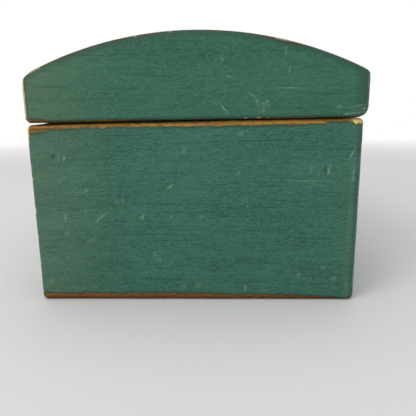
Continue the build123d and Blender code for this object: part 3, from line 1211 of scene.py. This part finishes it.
def scuffed(recipe, place, object_place, pale, colour, finish):
    """The paint's colour with flecks, scratches and dents, and how deep they go in mm."""
    specks = recipe.node(
        "TexVoronoi", {"feature": "F1"}, vector=recipe.stretched(place, (7, 5, 5)), scale=1.0, randomness=1.0
    )
    chosen = recipe.node("SeparateColor", in_0=specks.outputs["Color"]).outputs[0]
    fleck = recipe.spread(specks.outputs["Distance"], 0.03, 0.10, 1.0, 0.0)
    fleck = recipe.math("MULTIPLY", fleck, recipe.spread(chosen, 0.3, 0.8))
    ragged = recipe.node("TexNoise", vector=object_place, scale=1 / (0.9 * MM), detail=1.0)
    middle = (0.5, 0.5, 0.5)
    bend = recipe.node("VectorMath", {"operation": "SUBTRACT"}, in_0=ragged.outputs["Color"], in_1=middle)
    bend = recipe.node("VectorMath", {"operation": "SCALE"}, in_0=bend.outputs[0], scale=1.1 * MM).outputs[0]
    marked_place = recipe.node("VectorMath", {"operation": "ADD"}, in_0=object_place, in_1=bend).outputs[0]
    base_x = BASE_LOW[0] / MM
    lid_x = LID_LOW[0] / MM
    pale_marks = [(base_x, *mark) for mark in BASE_MARKS] + [(lid_x, *mark) for mark in LID_MARKS]
    dark_marks = [(base_x if mark[0][1] < AXIS_Z / MM else lid_x, *mark) for mark in DARK_MARKS]
    scratches = all_marks(recipe, marked_place, pale_marks)
    dents = all_marks(recipe, marked_place, dark_marks)
    patchy = recipe.spread(ragged.outputs[0], 0.3, 0.6, 0.35, 1.0)
    pale = recipe.math("MULTIPLY", pale, 1.2, clamp=True)
    pale = recipe.math("MAXIMUM", recipe.math("MULTIPLY", fleck, 0.7), pale)
    pale = recipe.math("MULTIPLY", recipe.math("MAXIMUM", pale, scratches), patchy)
    colour = recipe.mix(recipe.math("MULTIPLY", pale, 0.80), colour, SCRATCHED_GREEN)
    colour = recipe.mix(recipe.math("MULTIPLY", dents, 0.7), colour, tuple(c * 0.5 for c in finish.paint))
    depth = recipe.total(recipe.math("MULTIPLY", dents, 0.10), recipe.math("MULTIPLY", scratches, 0.03))
    return colour, depth


def stained_wood(recipe, place, object_place, edge, pale, grime, finish):
    """Stained wood where the paint is gone, dirtier at the limit, with cream chips and painted shade; its
    height in mm.
    """
    colour, height = wood_colour(recipe, place, tuple(finish.stained_wood), 0.42, 1.45)
    up = recipe.node("SeparateXYZ", vector=object_place).outputs[2]
    # The bare wood turns darker and redder towards the bottom
    colour = recipe.mix(recipe.spread(up, 0.5 * MM, 7 * MM, 0.72, 0.0), colour, FOOT_RED_BROWN)
    dirt = recipe.grain_noise(place, (2.6, 0.9, 0.9), detail=3.0, roughness=0.65, offset=(0.9, 0.3, 0.2))
    colour = recipe.mix(recipe.spread(dirt, 0.46, 0.68, 0.0, 0.7), colour, DIRTY_WOOD)
    colour = recipe.mix(recipe.spread(edge, 0.5, 0.66, 0.45, 0.0), colour, DIRTY_WOOD)
    chips = recipe.grain_noise(place, (1.6, 0.9, 0.9), detail=3.0, roughness=0.65, offset=(0.15, 0.35, 0.55))
    cream = recipe.spread(recipe.total(recipe.math("MULTIPLY", pale, 0.4), chips), 0.66, 0.80)
    from_rim = recipe.math("ABSOLUTE", recipe.math("SUBTRACT", up, RIM_CHIP_HEIGHT))
    cream_colour = recipe.mix(recipe.spread(from_rim, 5.2 * MM, 6.0 * MM), RIM_CREAM, EDGE_CREAM)
    colour = recipe.mix(cream, colour, cream_colour)
    # Painted shade darkens the bare wood in the seam, under the lid and at the foot
    grime = recipe.math("MULTIPLY", grime, recipe.spread(chips, 0.3, 0.6, 1.0, 0.94))
    colour = recipe.mix(grime, colour, SHADE_ON_WOOD)
    return colour, height


def worn_green_paint(finish):
    """Brushed satin green over stained wood, rubbed through along the edges."""
    recipe = Recipe("worn_green_paint")
    place = recipe.node("Attribute", {"attribute_name": "grain_place"}).outputs["Vector"]
    rub = recipe.node("Attribute", {"attribute_name": "rub"}).outputs["Fac"]
    pale = recipe.node("Attribute", {"attribute_name": "pale"}).outputs["Fac"]
    # Painted shade in the seam, under the lid, at the foot and along the edges
    grime = recipe.node("Attribute", {"attribute_name": "grime"}).outputs["Fac"]
    object_place = recipe.node("TexCoord").outputs["Object"]
    paint, paint_height, chalk = brushed_paint(recipe, place, object_place, finish)
    paint, depth = scuffed(recipe, place, object_place, pale, paint, finish)

    # Ragged limit between paint and worn wood
    tear = recipe.grain_noise(place, (3.5, 1.2, 1.2), detail=3.0, roughness=0.65, offset=(0.3, 0.6, 0.2))
    nibble = recipe.grain_noise(place, (0.9, 0.6, 0.6), detail=2.0, roughness=0.6, offset=(0.6, 0.1, 0.7))
    unevenness = recipe.total(recipe.swing(tear, 0.5), recipe.swing(nibble, 0.4))
    unevenness = recipe.math("MULTIPLY", unevenness, recipe.spread(rub, 0.0, 0.25))
    edge = recipe.total(rub, unevenness, finish.wear - SHOWN_WEAR)
    worn = recipe.spread(edge, 0.43, 0.57)
    thinned = recipe.spread(edge, 0.0, 0.42, 0.0, 0.75)
    paint = recipe.mix(thinned, paint, THINNED_GREEN)
    # The paint darkened by painted shade
    paint = recipe.mix(recipe.math("MULTIPLY", grime, 0.95), paint, SHADE_ON_PAINT)
    stain, wood_height = stained_wood(recipe, place, object_place, edge, pale, grime, finish)
    colour = recipe.mix(worn, paint, stain)

    # Sheen and relief
    roughness = recipe.total(0.42, recipe.math("MULTIPLY", chalk, 0.1), recipe.math("MULTIPLY", worn, 0.12))
    roughness = recipe.total(roughness, recipe.math("MULTIPLY", grime, 0.4))
    film = recipe.math("MULTIPLY", recipe.math("SUBTRACT", 1.0, worn), 0.06)
    bare_height = recipe.math("MULTIPLY", wood_height, worn)
    relief = recipe.math("SUBTRACT", recipe.total(paint_height, film, bare_height), depth)
    bump = recipe.node("Bump", strength=0.8, distance=MM, height=relief)
    shader = recipe.node(
        "BsdfPrincipled",
        base_color=colour,
        roughness=roughness,
        specular_ior_level=0.3,
        normal=bump.outputs[0],
    )
    return recipe.finish(shader.outputs[0])


def plain_wood(finish):
    """Plain unpainted wood of the liner and the bottom board."""
    recipe = Recipe("plain_wood")
    place = recipe.node("Attribute", {"attribute_name": "grain_place"}).outputs["Vector"]
    shade, height = wood_colour(recipe, place, tuple(finish.bare_wood), 0.62, 1.15)
    handled = recipe.grain_noise(place, (22, 12, 12), detail=3.0, roughness=0.6, offset=(0.5, 0.2, 0.8))
    shade = recipe.mix(recipe.spread(handled, 0.4, 0.75, 0.0, 0.35), shade, HANDLED_WOOD)
    # Painted shade darkens the liner where it stands in the seam
    grime = recipe.node("Attribute", {"attribute_name": "grime"}).outputs["Fac"]
    shade = recipe.mix(grime, shade, SHADE_ON_LINER)
    roughness = recipe.spread(handled, 0.3, 0.7, 0.55, 0.68)
    bump = recipe.node("Bump", strength=0.8, distance=MM, height=height)
    shader = recipe.node(
        "BsdfPrincipled",
        base_color=shade,
        roughness=roughness,
        specular_ior_level=0.35,
        normal=bump.outputs[0],
    )
    return recipe.finish(shader.outputs[0])


def aged_brass(finish):
    """Rolled brass, dulled and spotted, with fine lines along the hinge."""
    recipe = Recipe("aged_brass")
    place = recipe.node("TexCoord").outputs["Object"]
    rolled = recipe.grain_noise(place, (9, 0.12, 0.12), detail=2.0, roughness=0.6)
    tarnish = recipe.grain_noise(place, (2.4, 1.6, 1.6), detail=4.0, roughness=0.65, offset=(0.1, 0.2, 0.3))
    spots = recipe.grain_noise(place, (0.5, 0.5, 0.5), detail=2.0, roughness=0.6)
    spots = recipe.spread(spots, 0.62, 0.72)
    dull = tuple(c * 0.45 for c in finish.brass)
    shade = recipe.mix(recipe.spread(tarnish, 0.4, 0.72, 0.0, 0.75), tuple(finish.brass), dull)
    shade = recipe.mix(recipe.math("MULTIPLY", spots, 0.5), shade, BRASS_SPOTS)
    roughness = recipe.spread(tarnish, 0.35, 0.7, 0.28, 0.5)
    roughness = recipe.math("ADD", roughness, recipe.math("MULTIPLY", rolled, 0.08))
    height = recipe.math("MULTIPLY", rolled, 0.01)
    height = recipe.math("SUBTRACT", height, recipe.math("MULTIPLY", spots, 0.01))
    bump = recipe.node("Bump", strength=0.6, distance=MM, height=height)
    shader = recipe.node(
        "BsdfPrincipled",
        base_color=shade,
        metallic=1.0,
        roughness=roughness,
        normal=bump.outputs[0],
    )
    return recipe.finish(shader.outputs[0])


def pale_floor(look):
    """Matte pale floor, faintly mottled, that the camera sees fading into the white backdrop."""
    recipe = Recipe("pale_floor")
    place = recipe.node("TexCoord").outputs["Object"]
    mottle = recipe.grain_noise(place, (60, 60, 60), detail=3.0, roughness=0.5)
    shade = recipe.mix(mottle, tuple(look.floor), tuple(c * 0.975 for c in look.floor))
    matte = recipe.node("BsdfPrincipled", base_color=shade, roughness=0.9, specular_ior_level=0.1)
    away = recipe.node("VectorMath", {"operation": "LENGTH"}, in_0=place).outputs["Value"]
    path = recipe.node("LightPath")
    seen = recipe.math("MAXIMUM", path.outputs["Is Camera Ray"], path.outputs["Is Glossy Ray"])
    share = recipe.math("MULTIPLY", recipe.spread(away, look.fade_start, look.fade_end), seen)
    white = recipe.node("Emission", color=(1.0, 1.0, 1.0, 1.0), strength=1.0)
    both = recipe.node("MixShader", in_0=share, in_1=matte.outputs[0], in_2=white.outputs[0])
    return recipe.finish(both.outputs[0])


def shared_material(name, make, settings):
    """A material made once and used by several pieces."""
    return bpy.data.materials.get(name) or make(settings)


def end_board(name, form, left, thickness, lip, between, sizes):
    """An end board, rebated for the long boards and, between two heights, for the bottom or the top."""
    low = form.low.copy()
    high = form.high.copy()
    if left:
        high[0] = low[0] + thickness
        rebate = (low[0] + lip, high[0])
    else:
        low[0] = high[0] - thickness
        rebate = (low[0], high[0] - lip)
    front = low[1] + thickness
    back = high[1] - thickness
    cuts = (
        ((rebate[0], low[1], low[2]), (rebate[1], front, high[2])),
        ((rebate[0], back, low[2]), (rebate[1], high[1], high[2])),
        ((rebate[0], front, between[0]), (rebate[1], back, between[1])),
    )
    joints = ((rebate[0] if left else rebate[1],), (), ())
    return board_mesh(name, form, low, high, cuts, joints, sizes)


def base_end_board(name, left, sizes):
    """One end board of the base."""
    between = (BASE_LOW[2], BASE_LOW[2] + BOTTOM_THICKNESS)
    return end_board(name, BASE_FORM, left, BASE_BOARD, BASE_LIP, between, sizes)


def base_long_board(name, front, sizes):
    """The front or back board of the base, rebated for the bottom."""
    low = BASE_LOW + [BASE_LIP, 0, 0]
    high = BASE_HIGH - [BASE_LIP, 0, 0]
    if front:
        high[1] = low[1] + BASE_BOARD
        rebate = (low[1] + BASE_LIP, high[1])
    else:
        low[1] = high[1] - BASE_BOARD
        rebate = (low[1], high[1] - BASE_LIP)
    cuts = (((low[0], rebate[0], low[2]), (high[0], rebate[1], low[2] + BOTTOM_THICKNESS)),)
    joints = ((low[0], high[0]), (), ())
    mesh = board_mesh(name, BASE_FORM, low, high, cuts, joints, sizes)
    return mesh if front else cut_seats(mesh, -1)


def dress_painted(mesh, form, wear_list, length_axis):
    """Gives a painted board its wear, its grain coordinates, its leaning seam and its sharp edges."""
    points = mesh_points(mesh)
    lend_attribute(mesh, "rub", "FLOAT", "value", rubbed(form, points, wear_list))
    lend_attribute(mesh, "pale", "FLOAT", "value", paled(points))
    # Painted shade in the seam, under the lid, at the foot and along the edges
    grime = np.maximum(painted_shade_places(points), shaded_along_edges(form, points))
    lend_attribute(mesh, "grime", "FLOAT", "value", grime)
    lay_grain(mesh, points, length_axis)
    points = rounded_off(form, points, BASE_SOFT_CORNERS if form is BASE_FORM else LID_SOFT_CORNERS)
    points[:, 2] += seam_lean(points, form is BASE_FORM)
    mesh.vertices.foreach_set("co", points.ravel())
    mesh.update()
    mark_sharp(mesh, BOARD_TURN)


class TRINKETBOX_OT_base_boards(bpy.types.Operator):
    """Make the four painted boards of the base"""

    bl_idname = "trinket_box.base_boards"
    bl_label = "Base Boards"

    def execute(self, context):
        sizes = context.scene.trinket_box_sizes
        paint = shared_material("worn_green_paint", worn_green_paint, context.scene.trinket_box_finish)
        boards = {
            "base_end_left": (base_end_board("base_end_left", True, sizes), 1),
            "base_end_right": (base_end_board("base_end_right", False, sizes), 1),
            "base_front": (base_long_board("base_front", True, sizes), 0),
            "base_back": (base_long_board("base_back", False, sizes), 0),
        }
        for name, (mesh, length_axis) in boards.items():
            dress_painted(mesh, BASE_FORM, BASE_WEAR, length_axis)
            add_piece("painted_" + name, mesh, paint, "base", [name])
        return {"FINISHED"}


def lid_end_board(name, left, sizes):
    """One arched end board of the lid, with the curved rebate that hides the end of the top."""
    between = (SOFFIT_CROWN, LID_HIGH[2])
    return end_board(name, LID_FORM, left, LID_BOARD, LID_LIP, between, sizes)


def lid_rail(name, front, sizes):
    """The low board under the front or back edge of the top."""
    low = LID_LOW + [LID_LIP, 0, 0]
    high = LID_HIGH - [LID_LIP, 0, 0]
    high[2] = SOFFIT_CROWN
    if front:
        high[1] = low[1] + LID_BOARD
    else:
        low[1] = high[1] - LID_BOARD
    mesh = board_mesh(name, LID_FORM, low, high, (), ((low[0], high[0]), (), ()), sizes)
    return mesh if front else cut_seats(mesh, 1)


def lid_top_board(name, sizes):
    """The bent top, planed flush at its long edges."""
    low = LID_LOW + [LID_LIP, 0, 0]
    high = LID_HIGH - [LID_LIP, 0, 0]
    low[2] = SOFFIT_CROWN + GLUE_LINE
    return board_mesh(name, LID_FORM, low, high, (), ((low[0], high[0]), (), ()), sizes)


class TRINKETBOX_OT_lid_boards(bpy.types.Operator):
    """Make the lid's arched ends, rails and bent top"""

    bl_idname = "trinket_box.lid_boards"
    bl_label = "Lid Boards"

    def execute(self, context):
        sizes = context.scene.trinket_box_sizes
        paint = shared_material("worn_green_paint", worn_green_paint, context.scene.trinket_box_finish)
        boards = {
            "lid_end_left": (lid_end_board("lid_end_left", True, sizes), 1),
            "lid_end_right": (lid_end_board("lid_end_right", False, sizes), 1),
            "lid_front_rail": (lid_rail("lid_front_rail", True, sizes), 0),
            "lid_back_rail": (lid_rail("lid_back_rail", False, sizes), 0),
            "lid_top": (lid_top_board("lid_top", sizes), 0),
        }
        for name, (mesh, length_axis) in boards.items():
            dress_painted(mesh, LID_FORM, LID_WEAR, length_axis)
            add_piece("painted_" + name, mesh, paint, "lid", [name])
        return {"FINISHED"}


class TRINKETBOX_OT_liner(bpy.types.Operator):
    """Make the bare bottom board and the four thin boards that key into the lid"""

    bl_idname = "trinket_box.liner"
    bl_label = "Liner and Bottom"

    def execute(self, context):
        sizes = context.scene.trinket_box_sizes
        wood = shared_material("plain_wood", plain_wood, context.scene.trinket_box_finish)
        length_axes = {"liner_front": 0, "liner_back": 0, "liner_left": 1, "liner_right": 1, "base_bottom": 0}
        for name, length_axis in length_axes.items():
            low = node_low(name)
            high = node_high(name)
            form_low = low - FAR
            form_high = high + FAR
            if name != "base_bottom":
                thin_axis = 1 - length_axis
                form_low[thin_axis] = low[thin_axis]
                form_high[thin_axis] = high[thin_axis]
                form_high[2] = high[2]
            form = RoundedBox(form_low, form_high, LINER_EASE)
            mesh = board_mesh(name, form, low, high, (), ((), (), ()), sizes)
            points = mesh_points(mesh)
            # Painted shade on the liner where it stands in the seam
            lend_attribute(mesh, "grime", "FLOAT", "value", painted_shade_places(points))
            lay_grain(mesh, points, length_axis)
            mark_sharp(mesh, BOARD_TURN)
            add_piece("bare_" + name, mesh, wood, "base", [name])
        return {"FINISHED"}


HINGE_EASE = 0.12 * MM
MERGE_DISTANCE = 0.001 * MM
FLAT_TURN = math.radians(1)
EASED_TURN = math.radians(50)


def softened_copy(node, width):
    """A CAD node's mesh with its seams merged, its flats joined and its sharp edges eased."""
    work = bmesh.new()
    work.from_mesh(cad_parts[node].data)
    bmesh.ops.remove_doubles(work, verts=work.verts, dist=MERGE_DISTANCE)
    bmesh.ops.dissolve_limit(work, angle_limit=FLAT_TURN, verts=work.verts, edges=work.edges)
    mesh = bpy.data.meshes.new(node)
    work.to_mesh(mesh)
    work.free()
    subject = bpy.data.objects.new(node + "_copy", mesh)
    bpy.context.scene.collection.objects.link(subject)
    ease = subject.modifiers.new("eased_edges", "BEVEL")
    ease.width = width
    ease.segments = 2
    ease.limit_method = "ANGLE"
    ease.angle_limit = EASED_TURN
    ease.harden_normals = False
    bpy.context.view_layer.update()
    soft = baked_mesh(subject)
    mark_sharp(soft, HINGE_TURN)
    return soft


class TRINKETBOX_OT_hinges(bpy.types.Operator):
    """Make the two brass butt hinges with their pins"""

    bl_idname = "trinket_box.hinges"
    bl_label = "Hinges"

    def execute(self, context):
        brass = shared_material("aged_brass", aged_brass, context.scene.trinket_box_finish)
        for side in ("left", "right"):
            for part, body in (("base_leaf", "base"), ("lid_leaf", "lid"), ("pin", "base")):
                node = f"hinge_{side}_{part}"
                mesh = softened_copy(node, HINGE_EASE)
                add_piece("brass_" + node, mesh, brass, body, [node])
        return {"FINISHED"}


# Proportions of a screw, its fineness, and how far either way its slot may be turned, in radians
SHANK_SHARE = 0.62
SHANK_TAPER = 0.95
POINT_SHARE = 0.1
SCREW_SIDES = 40
SLOT_TURN = 0.9
SLOT_SEED = 7


def screw_tree(brass):
    """Slotted countersunk screws at the four holes of a pair of hinge leaves."""
    tree = bpy.data.node_groups.new("hinge_screws", "GeometryNodeTree")
    tree.interface.new_socket("Geometry", in_out="OUTPUT", socket_type="NodeSocketGeometry")
    inputs = {
        "Head Radius": HEAD_RADIUS,
        "Shank Radius": SHANK_RADIUS,
        "Length": SCREW_LENGTH,
        "Slot Width": SLOT_WIDTH,
        "Slot Depth": SLOT_DEPTH,
        "Spacing": SCREW_SPACING,
        "Hinge Distance": 2 * HINGE_X,
        "Tilt": 0.0,
    }
    for name, default in inputs.items():
        socket = tree.interface.new_socket(name, in_out="INPUT", socket_type="NodeSocketFloat")
        socket.default_value = default
        socket.subtype = "ANGLE" if name == "Tilt" else "DISTANCE"
    centre = tree.interface.new_socket("Centre", in_out="INPUT", socket_type="NodeSocketVector")
    centre.subtype = "TRANSLATION"
    given = tree.nodes.new("NodeGroupInput").outputs

    def node(kind, settings=None, **links):
        made = tree.nodes.new(kind)
        for key, value in (settings or {}).items():
            setattr(made, key, value)
        for key, value in links.items():
            name = int(key[3:]) if key.startswith("in_") else key.replace("_", " ")
            socket = made.inputs[name]
            if isinstance(value, bpy.types.NodeSocket):
                tree.links.new(value, socket)
            else:
                socket.default_value = value
        return made

    def sum_of(operation, first, second):
        return node("ShaderNodeMath", {"operation": operation}, in_0=first, in_1=second).outputs[0]

    def point(x, y, z):
        return node("ShaderNodeCombineXYZ", X=x, Y=y, Z=z).outputs[0]

    def cone(top_radius, low_radius, length, foot):
        """A length of the screw whose lower end lies at a depth under the head's face."""
        made = node("GeometryNodeMeshCone", Vertices=SCREW_SIDES, Radius_Top=top_radius,
                    Radius_Bottom=low_radius, Depth=length)
        down = point(0.0, 0.0, sum_of("MULTIPLY", foot, -1.0))
        return node("GeometryNodeTransform", Geometry=made.outputs["Mesh"], Translation=down)

    def pair(distance):
        """Two points a distance apart along the hinge, even to both sides of its middle."""
        half = sum_of("MULTIPLY", distance, 0.5)
        line = node("GeometryNodeMeshLine", {"mode": "END_POINTS"}, Count=2)
        first = point(sum_of("MULTIPLY", half, -1.0), 0.0, 0.0)
        tree.links.new(first, line.inputs["Start Location"])
        tree.links.new(point(half, 0.0, 0.0), line.inputs["Offset"])
        return line.outputs["Mesh"]

    # One screw, its head's face at the origin and its point down
    head_depth = sum_of("SUBTRACT", given["Head Radius"], given["Shank Radius"])
    head = cone(given["Head Radius"], given["Shank Radius"], head_depth, head_depth)
    shank_length = sum_of("MULTIPLY", given["Length"], SHANK_SHARE)
    shank_end = sum_of("MULTIPLY", given["Shank Radius"], SHANK_TAPER)
    shank = cone(given["Shank Radius"], shank_end, shank_length, shank_length)
    tip_length = sum_of("SUBTRACT", given["Length"], shank_length)
    tip_end = sum_of("MULTIPLY", given["Shank Radius"], POINT_SHARE)
    tip = cone(shank_end, tip_end, tip_length, given["Length"])
    slot_size = point(sum_of("MULTIPLY", given["Head Radius"], 3.0), given["Slot Width"],
                      sum_of("MULTIPLY", given["Slot Depth"], 2.0))
    slot = node("GeometryNodeMeshCube", Size=slot_size)
    body = node("GeometryNodeMeshBoolean", {"operation": "UNION", "solver": "EXACT"})
    for part in (head, shank, tip):
        tree.links.new(part.outputs["Geometry"], body.inputs["Mesh 2"])
    slotted = node("GeometryNodeMeshBoolean", {"operation": "DIFFERENCE", "solver": "EXACT"},
                   in_0=body.outputs["Mesh"])
    tree.links.new(slot.outputs["Mesh"], slotted.inputs["Mesh 2"])

    # Two hinges, two holes in each, every screw stopped at its own angle
    hinges = pair(given["Hinge Distance"])
    pairs = node("GeometryNodeInstanceOnPoints", Points=hinges, Instance=pair(given["Spacing"]))
    places = node("GeometryNodeRealizeInstances", Geometry=pairs.outputs["Instances"])
    stop = node("FunctionNodeRandomValue", {"data_type": "FLOAT"}, in_2=-SLOT_TURN, in_3=SLOT_TURN,
                Seed=SLOT_SEED)
    screws = node("GeometryNodeInstanceOnPoints", Points=places.outputs["Geometry"],
                  Instance=slotted.outputs["Mesh"], Rotation=point(0.0, 0.0, stop.outputs[1]))
    placed = node("GeometryNodeTransform", Geometry=screws.outputs["Instances"], Translation=given["Centre"],
                  Rotation=point(given["Tilt"], 0.0, 0.0))
    real = node("GeometryNodeRealizeInstances", Geometry=placed.outputs["Geometry"])
    dressed = node("GeometryNodeSetMaterial", Geometry=real.outputs["Geometry"], Material=brass)
    output = tree.nodes.new("NodeGroupOutput")
    tree.links.new(dressed.outputs["Geometry"], output.inputs["Geometry"])
    return tree


class TRINKETBOX_OT_screws(bpy.types.Operator):
    """Make the hinges' slotted countersunk screws with Geometry Nodes"""

    bl_idname = "trinket_box.screws"
    bl_label = "Hinge Screws"

    def execute(self, context):
        sizes = context.scene.trinket_box_sizes
        brass = shared_material("aged_brass", aged_brass, context.scene.trinket_box_finish)
        tree = screw_tree(brass)
        sockets = {item.name: item.identifier for item in tree.interface.items_tree if item.in_out == "INPUT"}
        screw_y = (node_low("base_hinge_screws")[1] + node_high("base_hinge_screws")[1]) / 2
        for body, side, tilt in (("base", -1, 0.0), ("lid", 1, math.pi)):
            node = f"{body}_hinge_screws"
            subject = bpy.data.objects.new(node + "_source", bpy.data.meshes.new(node + "_source"))
            context.scene.collection.objects.link(subject)
            grown = subject.modifiers.new("hinge_screws", "NODES")
            grown.node_group = tree
            grown[sockets["Slot Width"]] = sizes.slot_width
            grown[sockets["Tilt"]] = tilt
            grown[sockets["Centre"]] = (0.0, float(screw_y), float(AXIS_Z + side * LEAF_GAP / 2))
            context.view_layer.update()
            mesh = baked_mesh(subject)
            if not mesh.vertices:
                raise RuntimeError(f"{node} came out empty")
            mark_sharp(mesh, SCREW_TURN)
            add_piece("brass_" + node, mesh, brass, body, [node])
        return {"FINISHED"}


# Camera as it stood at the photograph: place in millimetres, angles in degrees
CAMERA_PLACE = (-256.8, -10.9, 73.2)
CAMERA_TURN = 1.93
CAMERA_DIP = 11.86
CAMERA_ROLL = -0.74
# Width of the camera's picture plate, and the length of its lens, both in Blender's millimetres
SENSOR_WIDTH = 36
LENS_LENGTH = 36

# Lamps: name, place and width, in metres
LAMPS = (
    ("key", (-0.75, 0.70, 0.75), 0.7),
    ("top", (0.10, 0.05, 1.20), 0.9),
    ("fill", (-0.80, -0.75, 0.45), 0.8),
)
FLOOR_RADIUS = 3.0
FLOOR_SIDES = 96


def add_camera(scene):
    """The photograph's camera, level with the seam and close to the left end."""
    turn, dip, roll = (math.radians(a) for a in (CAMERA_TURN, CAMERA_DIP, CAMERA_ROLL))
    ahead = Vector((math.cos(turn), math.sin(turn), 0))
    right = Vector((math.sin(turn), -math.cos(turn), 0))
    up = Vector((0, 0, 1))
    looking = math.cos(dip) * ahead - math.sin(dip) * up
    over = math.sin(dip) * ahead + math.cos(dip) * up
    side = math.cos(roll) * right + math.sin(roll) * over
    top = math.cos(roll) * over - math.sin(roll) * right
    data = bpy.data.cameras.new("camera")
    data.sensor_width = SENSOR_WIDTH
    data.lens = LENS_LENGTH
    data.clip_start = 0.01
    data.clip_end = 20
    camera = bpy.data.objects.new("camera", data)
    turned = Matrix((side, top, -looking)).transposed().to_4x4()
    camera.matrix_world = Matrix.Translation(Vector(CAMERA_PLACE) * MM) @ turned
    scene.collection.objects.link(camera)
    scene.camera = camera


def add_lamp(scene, name, place, size, power):
    """A large soft lamp that faces the box."""
    data = bpy.data.lights.new(name, "AREA")
    data.shape = "DISK"
    data.size = size
    data.energy = power
    lamp = bpy.data.objects.new(name, data)
    lamp.location = place
    middle = Vector((cad_low + cad_high) / 2)
    lamp.rotation_mode = "QUATERNION"
    lamp.rotation_quaternion = (middle - lamp.location).to_track_quat("-Z", "Y")
    scene.collection.objects.link(lamp)


def add_sky(scene, strength):
    """Even light from all round, which the camera and reflections see as a white backdrop."""
    world = bpy.data.worlds.new("studio")
    world.use_nodes = True
    tree = world.node_tree
    tree.nodes.clear()
    path = tree.nodes.new("ShaderNodeLightPath")
    seen = tree.nodes.new("ShaderNodeMath")
    seen.operation = "MAXIMUM"
    tree.links.new(path.outputs["Is Camera Ray"], seen.inputs[0])
    tree.links.new(path.outputs["Is Glossy Ray"], seen.inputs[1])
    backdrop = tree.nodes.new("ShaderNodeMix")
    backdrop.data_type = "FLOAT"
    tree.links.new(seen.outputs[0], backdrop.inputs["Factor"])
    backdrop.inputs[2].default_value = strength
    backdrop.inputs[3].default_value = 1.0
    background = tree.nodes.new("ShaderNodeBackground")
    background.inputs["Color"].default_value = (1, 1, 1, 1)
    tree.links.new(backdrop.outputs[0], background.inputs["Strength"])
    output = tree.nodes.new("ShaderNodeOutputWorld")
    tree.links.new(background.outputs[0], output.inputs["Surface"])
    scene.world = world


class TRINKETBOX_OT_stage(bpy.types.Operator):
    """Make the pale floor, the soft lamps and the camera"""

    bl_idname = "trinket_box.stage"
    bl_label = "Stage"

    def execute(self, context):
        scene = context.scene
        look = scene.trinket_box_stage
        work = bmesh.new()
        bmesh.ops.create_circle(work, cap_ends=True, segments=FLOOR_SIDES, radius=FLOOR_RADIUS)
        mesh = bpy.data.meshes.new("floor")
        work.to_mesh(mesh)
        work.free()
        mesh.materials.append(pale_floor(look))
        floor = bpy.data.objects.new("floor", mesh)
        scene.collection.objects.link(floor)
        for name, place, width in LAMPS:
            add_lamp(scene, name + "_lamp", place, width, getattr(look, name))
        add_sky(scene, look.sky)
        add_camera(scene)
        scene.view_settings.view_transform = "Standard"
        return {"FINISHED"}


class TRINKETBOX_PT_panel(bpy.types.Panel):
    """Lists the steps that dress the box"""

    bl_idname = "TRINKETBOX_PT_panel"
    bl_label = "Trinket Box"
    bl_space_type = "VIEW_3D"
    bl_region_type = "UI"
    bl_category = "Trinket Box"

    def draw(self, context):
        layout = self.layout
        for settings in ("trinket_box_sizes", "trinket_box_finish", "trinket_box_stage"):
            group = getattr(context.scene, settings)
            column = layout.column(align=True)
            for name in group.__annotations__:
                column.prop(group, name)
        for operator in STEPS:
            layout.operator(operator.bl_idname)


STEPS = (
    TRINKETBOX_OT_base_boards,
    TRINKETBOX_OT_lid_boards,
    TRINKETBOX_OT_liner,
    TRINKETBOX_OT_hinges,
    TRINKETBOX_OT_screws,
    TRINKETBOX_OT_stage,
)
CLASSES = (BoxSizes, BoxFinish, StageLook, *STEPS, TRINKETBOX_PT_panel)


def register():
    """Makes the settings, operators and panel known."""
    for each in CLASSES:
        bpy.utils.register_class(each)
    bpy.types.Scene.trinket_box_sizes = PointerProperty(type=BoxSizes)
    bpy.types.Scene.trinket_box_finish = PointerProperty(type=BoxFinish)
    bpy.types.Scene.trinket_box_stage = PointerProperty(type=StageLook)


def unregister():
    """Takes the settings, operators and panel away again."""
    del bpy.types.Scene.trinket_box_stage
    del bpy.types.Scene.trinket_box_finish
    del bpy.types.Scene.trinket_box_sizes
    for each in reversed(CLASSES):
        bpy.utils.unregister_class(each)


def main():
    """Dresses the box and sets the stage."""
    register()
    bpy.ops.trinket_box.base_boards()
    bpy.ops.trinket_box.lid_boards()
    bpy.ops.trinket_box.liner()
    bpy.ops.trinket_box.hinges()
    bpy.ops.trinket_box.screws()
    bpy.ops.trinket_box.stage()


if __name__ == "__main__":
    main()
